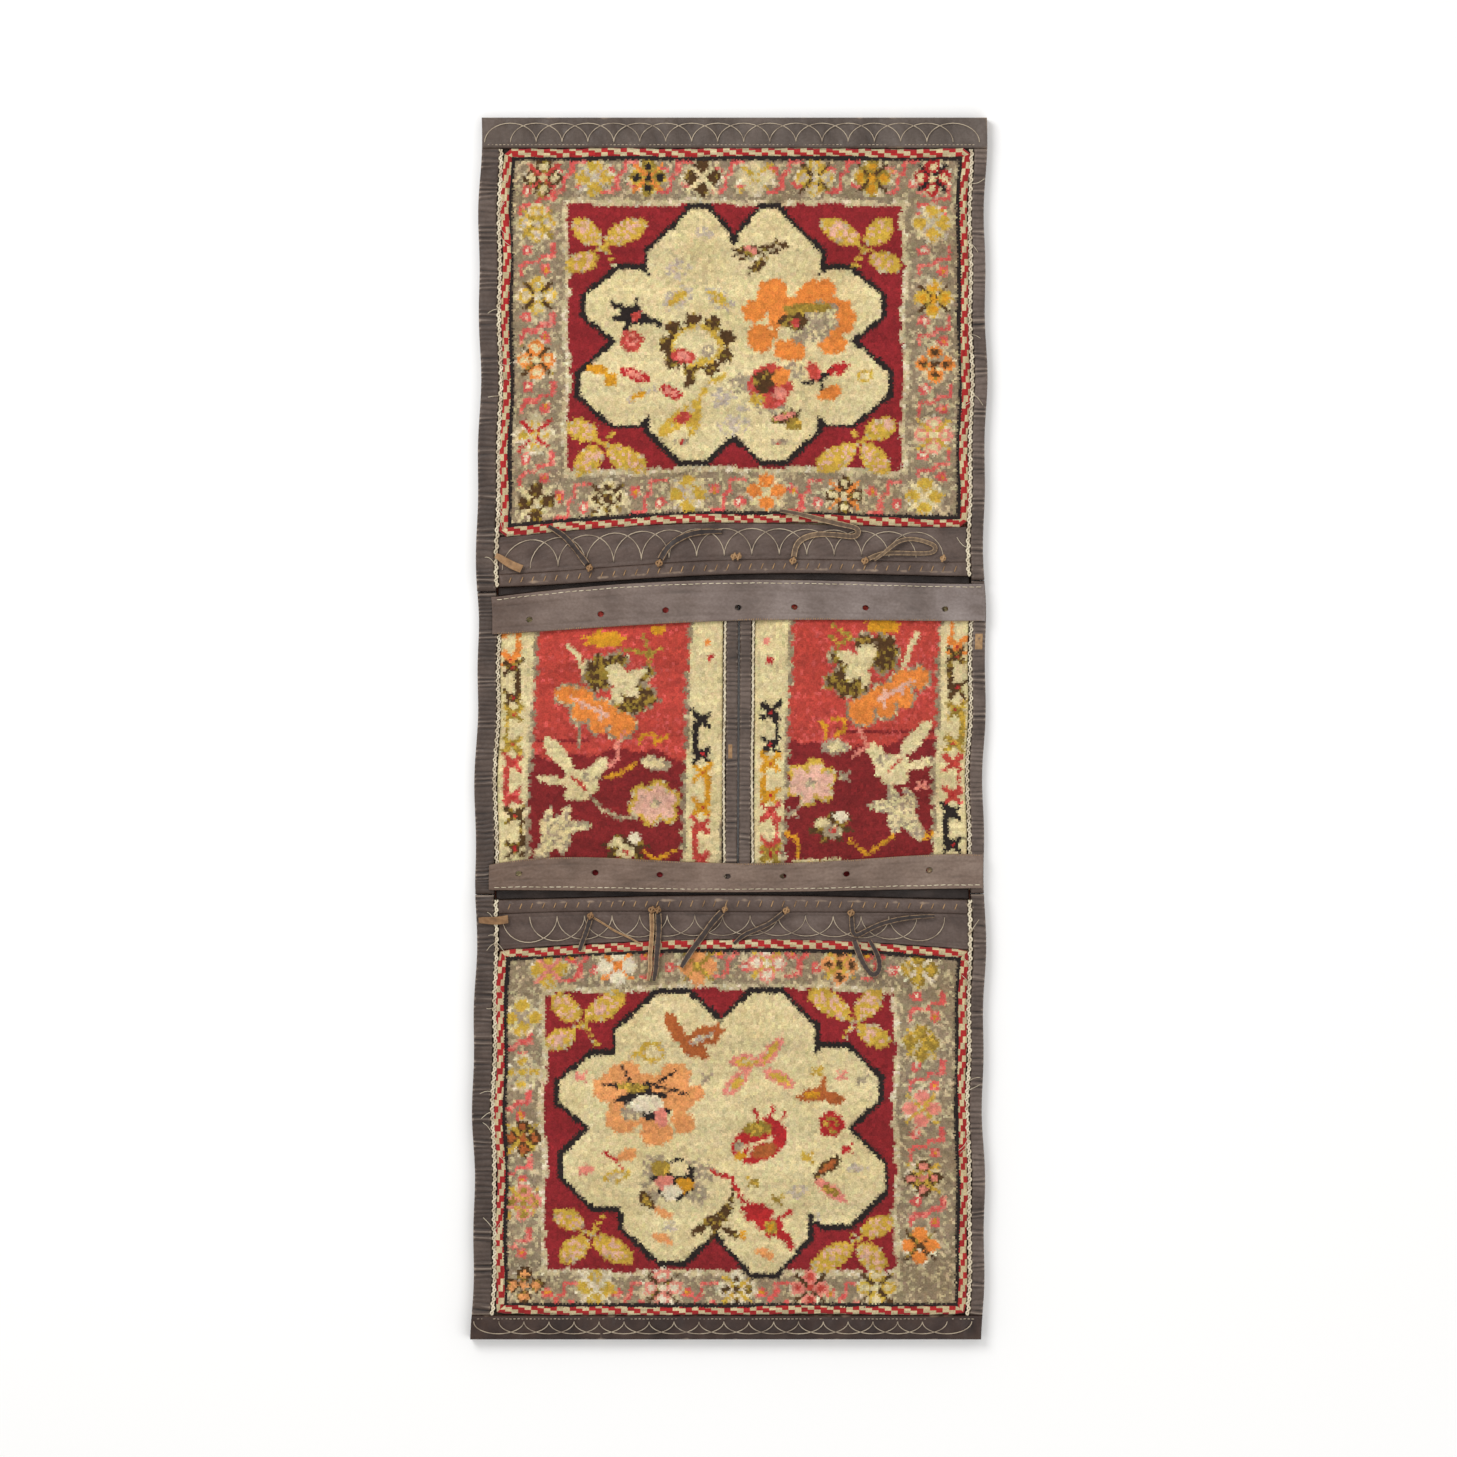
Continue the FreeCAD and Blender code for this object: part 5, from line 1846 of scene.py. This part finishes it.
@dataclass
class Pouch:
    """One pouch, lying flat: its back and edges, and the front with its carpet, band and lip."""

    name: str
    side: int
    settle: Settling
    weave: Callable[[Loom], None]
    middle: Place
    knots: tuple[Place, ...]
    tab: tuple[float, float, float]
    end_finish: Finish
    end_arch: tuple[float, float]
    arch_width: float = 58.0
    fold_room: float = 8.0
    seam_gap: float = 1.9
    cord_width: float = 9.4
    cord_strand: float = 10.2
    cord_faces: int = 12

    def build(self) -> None:
        """Makes every piece of the pouch."""
        self.pouch = f"{self.name}_pouch"
        self.front = f"{self.name}_front"
        self.back_and_lining()
        self.fold_leather()
        self.gussets()
        self.end_band()
        self.carpet()
        self.edge_cord()
        self.mouth_band()
        self.lip()
        self.seams()
        self.whip_stitches()
        self.knots_and_tab()

    def lines(self, near: float, far: float) -> Place:
        """Two distances from the middle of the bag, as a low and a high Y."""
        return tuple(sorted((self.side * near, self.side * far)))

    def near(self, s: Span) -> float:
        """A span's distance from the middle of the bag."""
        return min(abs(s.low), abs(s.high))

    def far(self, s: Span) -> float:
        """Its far end's distance."""
        return max(abs(s.low), abs(s.high))

    def fold(self, line: float) -> tuple[str, tuple[float, ...], tuple[float, ...]]:
        """The bend from the bridge to the pouch, over a fold at some distance from the bag's middle."""
        start = (0, self.side * (line - self.fold_room), 0)
        end = (0, self.side * (line + self.fold_room), 0)
        return self.pouch, start, end

    def back_and_lining(self) -> None:
        """The back cloth, which reaches past the fold line, and the cloth that lines the front."""
        name = f"{self.name}_back"
        s = Span.of(name)
        line = self.near(s)
        low, high = self.lines(line - self.fold_room + 0.4, self.far(s))
        cloth = Span(s.left, low, s.bottom, s.right, high, s.top)
        piece = Padding(name, cloth, 6, 4, 0.8, relief=Ripple(0.3, 50, 130, seed=17)).build()
        self.settle(piece, Finish.CLOTH, [name], "bridge", self.fold(line))
        name = f"{self.name}_front_lining"
        s = Span.of(name)
        piece = Padding(name, s, 6, 6, 0.4).build()
        self.settle(piece, Finish.CLOTH, [name], self.front)
        s.flat()

    def fold_leather(self) -> None:
        """The very dark leather in the fold, between the strap's root and the lip: a sheet whose darkness is
        painted shade for the recess there.
        """
        s = Span.of(f"{self.name}_back")
        line = self.near(s)
        low, high = self.lines(line - 4, line + 3.6)
        strip = Span(s.left + 2, low, s.top + 0.6, s.right - 2, high, s.top + 2.4)
        creases = Ripple(0.3, 8, 50, heading=90, seed=9)
        piece = Padding(f"{self.name}_fold", strip, 6, 0.9, 0.8, relief=creases).build()
        self.settle(piece, Finish.FOLD, [], "bridge", self.fold(line))

    def gussets(self) -> None:
        """The puckered side leathers, lying flat, which on the bag open out like a bellows with the mouth."""
        for n, hand in enumerate(("left", "right")):
            name = f"{self.name}_gusset_{hand}"
            s = Span.of(name)
            pucker = Pleats(1.9, 5.6, 60 + n + 3 * self.side)
            piece = Padding(name, s, 1.6, 1.1, 2.8, relief=pucker, worn=0.2).build()
            near = self.side * self.near(s)
            bellows = (self.front, (0, near, 1), (0, near, s.top - 1))
            self.settle(piece, Finish.GUSSET, [name], self.pouch, bellows)

    def end_band(self) -> None:
        """The leather band across the pouch's foot, with its scalloped stitching."""
        name = f"{self.name}_end_band"
        s = Span.of(name)
        creases = Ripple(0.5, 6, 40, heading=15, spread=40, seed=71 + self.side)
        lumps = Ripple(0.7, 50, 120, heading=0, spread=20, seed=75)
        piece = Padding(name, s, 2, 1.3, 3, relief=lambda x, y: creases(x, y) + lumps(x, y)).build()
        self.settle(piece, self.end_finish, [name], self.pouch)
        width, reach = self.end_arch
        foot = self.side * (self.near(s) + 6)
        runs = arches(s.left + 3, s.right - 3, foot, foot + self.side * reach, s.top + 1.0, width)
        dots = self.side * (self.near(s) + 3.5)
        runs += running_stitches(s.left + 6, s.right - 8, dots, s.top - 0.2, 2.4, 4.2)
        self.settle(threads(f"{name}_scallops", runs, 0.48), Finish.DARK_THREAD, [], self.pouch)

    def carpet(self) -> None:
        """The pouch's knotted face."""
        name = f"{self.name}_carpet"
        s = Span.of(name)
        loom = Loom(s, KNOT, Wool.STONE, self.middle)
        self.weave(loom)
        half = ((s.right - s.left) / 2, (s.high - s.low) / 2)
        centre = ((s.left + s.right) / 2, (s.low + s.high) / 2)
        swell = Ripple(0.9, 90, 220, seed=81 + self.side)

        def crown(x: Array, y: Array) -> Array:
            """The face's slight dome over the pouch, and its soft waves."""
            dome = (1 - ((x - centre[0]) / half[0]) ** 2) * (1 - ((y - centre[1]) / half[1]) ** 2)
            return 5.0 * np.maximum(dome, 0) + swell(x, y) * 0.7

        piece = Pile(name, loom, s.bottom + 0.1, s.top - 1.6, crown=crown, seed=90 + self.side).build()
        self.settle(piece, Finish.PILE, [name], self.front)
        s.flat()

    def edge_cord(self) -> None:
        """The red and cream cord all round the carpet, like a barber's pole."""
        name = f"{self.name}_edge_cord"
        s = Span.of(name)
        inset = self.cord_width / 2
        sides = (s.right - s.left - 2 * inset, s.high - s.low - 2 * inset)
        total = 2 * (sides[0] + sides[1])
        count = round(total / self.cord_strand) * 6
        deselect()
        bpy.ops.mesh.primitive_torus_add(
            major_segments=count, minor_segments=self.cord_faces, major_radius=RING, minor_radius=1)
        piece = bpy.context.object
        piece.name = name
        points = points_of(piece)
        turn, out = round_the_ring(points)
        up = points[:, 2]
        self.checks(piece, count)
        place, outward = self.round_the_edge(s, inset, sides, turn * total)
        sway = Ripple(0.7, 40, 120, seed=14)(place[:, 0], place[:, 1])
        lump = 1 + 0.07 * np.sin(turn * count * 2.094 + 5.4 * out)
        flatness = out * lump * inset + sway
        height = (s.bottom + s.top) / 2 + 0.4 + up * lump * 3.0
        put_points(piece, np.column_stack((place + outward * flatness[:, None], height)))
        self.settle(piece, Finish.CORD_WOOL, [name], self.front)

    @staticmethod
    def round_the_edge(s: Span, inset: float, sides: Place, way: Array) -> tuple[Array, Array]:
        """Places along the cord's rectangle, and the way outward there.

        Args:
            s: the cord's space.
            inset: how far its middle lies inside.
            sides: the rectangle's two lengths.
            way: how far along the rectangle each place is.

        Returns:
            The places and the outward headings, as X and Y.
        """
        wide, long = sides
        stops = np.array([
            0, long / 2, long / 2 + wide, 1.5 * long + wide, 1.5 * long + 2 * wide, 2 * (long + wide)])
        middle = (s.low + s.high) / 2
        left, right = s.left + inset, s.right - inset
        low, high = s.low + inset, s.high - inset
        corner_x = np.array([right, right, left, left, right, right])
        corner_y = np.array([middle, high, high, low, low, middle])
        place = np.column_stack((np.interp(way, stops, corner_x), np.interp(way, stops, corner_y)))
        angle_at = np.array([0, 0, 90, 90, 180, 180, 270, 270, 360, 360])
        ease = inset * 1.1
        bends = np.column_stack((stops[1:5] - ease, stops[1:5] + ease)).ravel()
        turns_at = np.concatenate(([0], bends, stops[5:]))
        angle = np.radians(np.interp(way, turns_at, angle_at))
        return place, np.column_stack((np.cos(angle), np.sin(angle)))

    @staticmethod
    def checks(piece: Piece, count: int) -> None:
        """Dyes the cord in slanting red and cream strands."""
        turn, out = round_the_ring(face_middles(piece))
        along = np.floor(turn * count)
        dice = np.random.default_rng(6)
        red = np.mod(along + 2.6 * out + 0.5 * np.sin(along / 5), 6) < 3.1
        shade = 1 + 0.12 * dice.standard_normal((len(red), 1))
        dyes = np.where(red[:, None], MADDER.linear() * 0.85, SAND.linear()) * np.clip(shade, 0.7, 1.3)
        paint(piece, np.clip(dyes, 0, 1))

    def mouth_band(self) -> None:
        """The leather band below the carpet, tooled along its edges and stitched with arches."""
        name = f"{self.name}_mouth_band"
        s = Span.of(name)
        near = self.near(s)
        far = self.far(s)
        creases = Ripple(0.35, 5, 30, heading=70, spread=50, seed=33 + self.side)

        def relief(x: Array, y: Array) -> Array:
            """Fine creases, and the tooled lines along both edges."""
            away = np.abs(y)
            grooves = sum(np.exp(-((away - line) / 0.9) ** 2) for line in (near + 4, far - 3, far - 6))
            return creases(x, y) - 0.5 * grooves

        piece = Padding(name, s, 2, 1.0, 0.8, relief=relief).build()
        self.settle(piece, Finish.BAND, [name], self.front)
        foot = self.side * (near + 4)
        peak = self.side * (far - 5)
        runs = arches(s.left + 4, s.right - 2, foot, peak, s.top + 0.8, self.arch_width)
        self.settle(threads(f"{name}_arches", runs, 0.5), Finish.DARK_THREAD, [], self.front)

    def lip(self) -> None:
        """The rolled leather lip at the mouth, rubbed pale along its ridge."""
        name = f"{self.name}_lip"
        s = Span.of(name)
        middle = self.side * (self.near(s) + self.far(s)) / 2
        creases = Ripple(0.4, 5, 26, heading=10, spread=50, seed=51 + self.side)

        def relief(x: Array, y: Array) -> Array:
            """The roll's fall to each side, and its creases."""
            return creases(x, y) - 0.02 * (y - middle) ** 2

        def rub(x: Array, y: Array) -> Array:
            """Pale where the ridge has rubbed, in patches."""
            ridge = np.exp(-((np.abs(y) - self.near(s) - 4) / 2.2) ** 2)
            return ridge * np.clip(0.28 + Ripple(0.2, 9, 70, heading=0, spread=20, seed=3)(x, y), 0, 0.45)

        piece = Padding(name, s, 2, 1.1, 3, relief=relief, rub=rub).build()
        self.settle(piece, Finish.BAND, [name], self.front)
        edge = self.side * (self.near(s) + 0.8)
        runs = across_stitches(s.left + 3, s.right - 3, 2.6, (edge, edge + self.side * 3.4), s.top - 3.2)
        self.settle(threads(f"{name}_overcasting", runs, 0.5, 1), Finish.TAN_THREAD, [], self.front)

    def seams(self) -> None:
        """The laced seams beside the gussets."""
        name = f"{self.name}_seam_cords"
        s = Span.of(name)
        left = Span.of(f"{self.name}_gusset_left")
        right = Span.of(f"{self.name}_gusset_right")
        runs = zigzag(left.right + self.seam_gap, s.low, s.high, s.top - 1.2)
        runs += zigzag(right.left - self.seam_gap, s.low, s.high, s.top - 1.2)
        self.settle(threads(name, runs, 1.0), Finish.LINEN, [name], self.front)
        ends = loose_ends(left.right + 1.5, s.low, s.high, s.top, 14, 5 + self.side)
        ends += loose_ends(right.left - 1.5, s.low, s.high, s.top, 7, 15 + self.side)
        self.settle(threads(f"{name}_loose_ends", ends, 0.28, 1), Finish.LINEN, [], self.front)

    def whip_stitches(self) -> None:
        """The stitches that hold the lip's roll down."""
        name = f"{self.name}_whip_stitches"
        s = Span.of(name)
        runs = across_stitches(s.left + 1, s.right, 12, (s.low + 0.6, s.high - 0.6), s.bottom + 0.2, 2.4)
        self.settle(threads(name, runs, 0.6), Finish.TAN_THREAD, [name], self.front)

    def knots_and_tab(self) -> None:
        """The laces' knots at the lip, and the short tan tab at the left."""
        self.thong_knots()
        self.tan_tab()

    def thong_knots(self) -> None:
        """A knot of thick lace where each thong comes out."""
        name = f"{self.name}_thong_knots"
        s = Span.of(name)
        runs = []
        for n, (x, y) in enumerate(self.knots):
            turns = np.linspace(0, 2 * np.pi, 15)
            wrap = 2.6 + 0.4 * np.sin(n * 1.7)
            height = s.top - 2.4 + 0.9 * np.sin(turns * 2)
            runs.append(np.column_stack((x + wrap * np.cos(turns), y + 0.7 * wrap * np.sin(turns), height)))
            ease = np.linspace(-1, 1, 9)
            height = s.top - 2.2 + 1.1 * (1 - ease ** 2)
            runs.append(np.column_stack((x + 1.2 * ease, y + 3.6 * ease, height)))
        self.settle(threads(name, runs, 1.15), Finish.TAN, [name], self.front, lies=False)

    def tan_tab(self) -> None:
        """The short tan tab at the left, narrower towards its end."""
        name = f"{self.name}_tab"
        x, y, turn = self.tab
        s = Span.of(name)
        long = 31
        wide = 8.5
        strip = Padding(
            name, Span(0, 0, s.bottom - 0.4, long, wide, s.top), 1.2, 0.9, 0.6,
            relief=Ripple(0.3, 5, 16, seed=8)).build()
        points = points_of(strip)
        way = np.radians(turn)
        taper = 1 - 0.35 * (points[:, 0] / long) ** 3
        across = (points[:, 1] - wide / 2) * taper + wide / 2 + 0.8 * np.sin(points[:, 0] / 7)
        turned_x = x + points[:, 0] * np.cos(way) - across * np.sin(way)
        turned_y = y + points[:, 0] * np.sin(way) + across * np.cos(way)
        put_points(strip, np.column_stack((turned_x, turned_y, points[:, 2])))
        self.settle(strip, Finish.TAN, [name], self.front, lies=False)


@dataclass
class ClosingStrap:
    """The strap that folds over a mouth: a leather strip with holes, sewn along its root."""

    name: str
    side: int
    settle: Settling
    holes: tuple[float, ...]
    hole_line: float
    finish: Finish = Finish.STRAP
    hole_radius: float = 3.2
    hinge_width: float = 9.0

    def build(self) -> None:
        """Makes the strap and its stitching."""
        name = f"{self.name}_strap"
        s = Span.of(name)
        root = self.side * max(abs(s.low), abs(s.high))
        free = self.side * min(abs(s.low), abs(s.high))
        creases = Ripple(0.28, 4, 34, heading=80, spread=30, seed=101 + self.side)
        waves = Ripple(0.35, 60, 160, heading=0, spread=30, seed=7)

        def relief(x: Array, y: Array) -> Array:
            """Long creases, and the tooled lines along both edges."""
            grooves = sum(
                np.exp(-((y - line) / 0.9) ** 2) for line in (free + self.side * 8, root - self.side * 13))
            return creases(x, y) + waves(x, y) - 0.45 * grooves

        strap = Padding(name, s, 2.2, 1.1, 1.2, relief=relief).build()
        cut_away(strap, self.punches(s))
        hinge = (0, root, s.top)
        turned = (0, root - self.side * self.hinge_width, s.top)
        turning = f"{self.name}_closing_strap"
        # A half turn goes the same way about X for both straps, so each strap's bend is given from the side
        # that lifts it.
        if self.side < 0:
            body, bend = "bridge", (turning, hinge, turned)
        else:
            body, bend = turning, ("bridge", turned, hinge)
        self.settle(strap, self.finish, [name], body, bend, sewn=True)
        runs = running_stitches(s.left + 6, s.right - 8, root - self.side * 4, s.top + 0.35, 5, 7.2)
        piece = threads(f"{self.name}_strap_stitches", runs, 0.5)
        self.settle(piece, Finish.LINEN, [f"{self.name}_strap_stitches"], body, bend, sewn=True)
        edge = (free + self.side * 0.2, free + self.side * 2.2)
        runs = across_stitches(s.left + 3, s.right - 3, 2.4, edge, s.top - 0.5)
        self.settle(threads(f"{self.name}_strap_overcasting", runs, 0.42, 1), Finish.TAN_THREAD, [], turning)

    def punches(self, s: Span) -> list[Piece]:
        """Round punches where the holes go."""
        tools = []
        for x in self.holes:
            deselect()
            bpy.ops.mesh.primitive_cylinder_add(
                vertices=24, radius=self.hole_radius, depth=12,
                location=(x, self.side * self.hole_line, (s.bottom + s.top) / 2))
            tools.append(bpy.context.object)
        return tools


# The studio.

@dataclass(frozen=True)
class Studio:
    """The pale floor, soft light and the camera straight overhead."""

    camera_height: float = 4.265
    lens: float = 100.0
    aside: float = -0.0021
    floor_size: float = 12.0

    def camera(self) -> None:
        """Sets the camera over the middle of the bag, looking down."""
        camera = bpy.data.cameras.new("camera")
        camera.lens = self.lens
        camera.sensor_width = 36
        holder = bpy.data.objects.new("camera", camera)
        holder.location = (self.aside, 0, self.camera_height)
        bpy.context.collection.objects.link(holder)
        bpy.context.scene.camera = holder

    def floor_and_light(self) -> None:
        """Lays the floor and hangs two soft lights."""
        deselect()
        bpy.ops.mesh.primitive_plane_add(size=self.floor_size, location=(0, 0, -0.0008))
        floor = bpy.context.object
        floor.name = "floor"
        paper = bpy.data.materials.new("pale_paper")
        paper.use_nodes = True
        surface = paper.node_tree.nodes["Principled BSDF"]
        surface.inputs["Base Color"].default_value = (0.93, 0.93, 0.93, 1)
        surface.inputs["Roughness"].default_value = 0.9
        floor.data.materials.append(paper)
        for name, place, turn, size, power in (
                ("main_light", (-1.6, 1.7, 2.6), (-0.55, -0.52, 0), 1.6, 62),
                ("fill_light", (1.8, -1.2, 3.0), (0.36, 0.5, 0), 2.6, 34)):
            light = bpy.data.lights.new(name, "AREA")
            light.size = size
            light.energy = power
            holder = bpy.data.objects.new(name, light)
            holder.location = place
            holder.rotation_euler = turn
            bpy.context.collection.objects.link(holder)
        world = bpy.data.worlds.new("daylight")
        world.use_nodes = True
        world.node_tree.nodes["Background"].inputs["Color"].default_value = (1, 0.99, 0.97, 1)
        world.node_tree.nodes["Background"].inputs["Strength"].default_value = 0.62
        bpy.context.scene.world = world
        bpy.context.scene.view_settings.view_transform = "Standard"


def main() -> None:
    """Builds the whole bag and reports each piece."""
    logging.basicConfig(level=logging.INFO, format="%(name)s: %(message)s")
    studio = Studio()
    studio.camera()
    settle = Settling(Lie())
    for lace in LACES:
        lace.build(settle)
    studio.floor_and_light()
    Bridge(settle).build()
    Pouch(
        "upper", 1, settle, weave_upper_carpet, (1.6, 399.4),
        ((-148, 168.5), (-75, 173.5), (3.5, 180.5), (8.5, 180.5), (65.5, 176), (141, 176), (223, 178.5)),
        (-217.2, 171.3, 154), Finish.END, (55, 20)).build()
    Pouch(
        "lower", -1, settle, weave_lower_carpet, (-7.3, -425),
        ((-147, -196.5), (-82.5, -190.2), (-76, -190.2), (-6, -189.5), (58.5, -191), (126.5, -193.5)),
        (-233.7, -195.8, 184), Finish.LOWER_END, (52, 13)).build()
    ClosingStrap("upper", 1, settle, (-213, -137.5, -69, 7.5, 66.5, 141, 224), 124).build()
    ClosingStrap(
        "lower", -1, settle, (-221, -141, -73.5, -2.5, 56, 122.5, 209.5), 152, Finish.LOWER_STRAP).build()


if __name__ == "__main__":
    main()
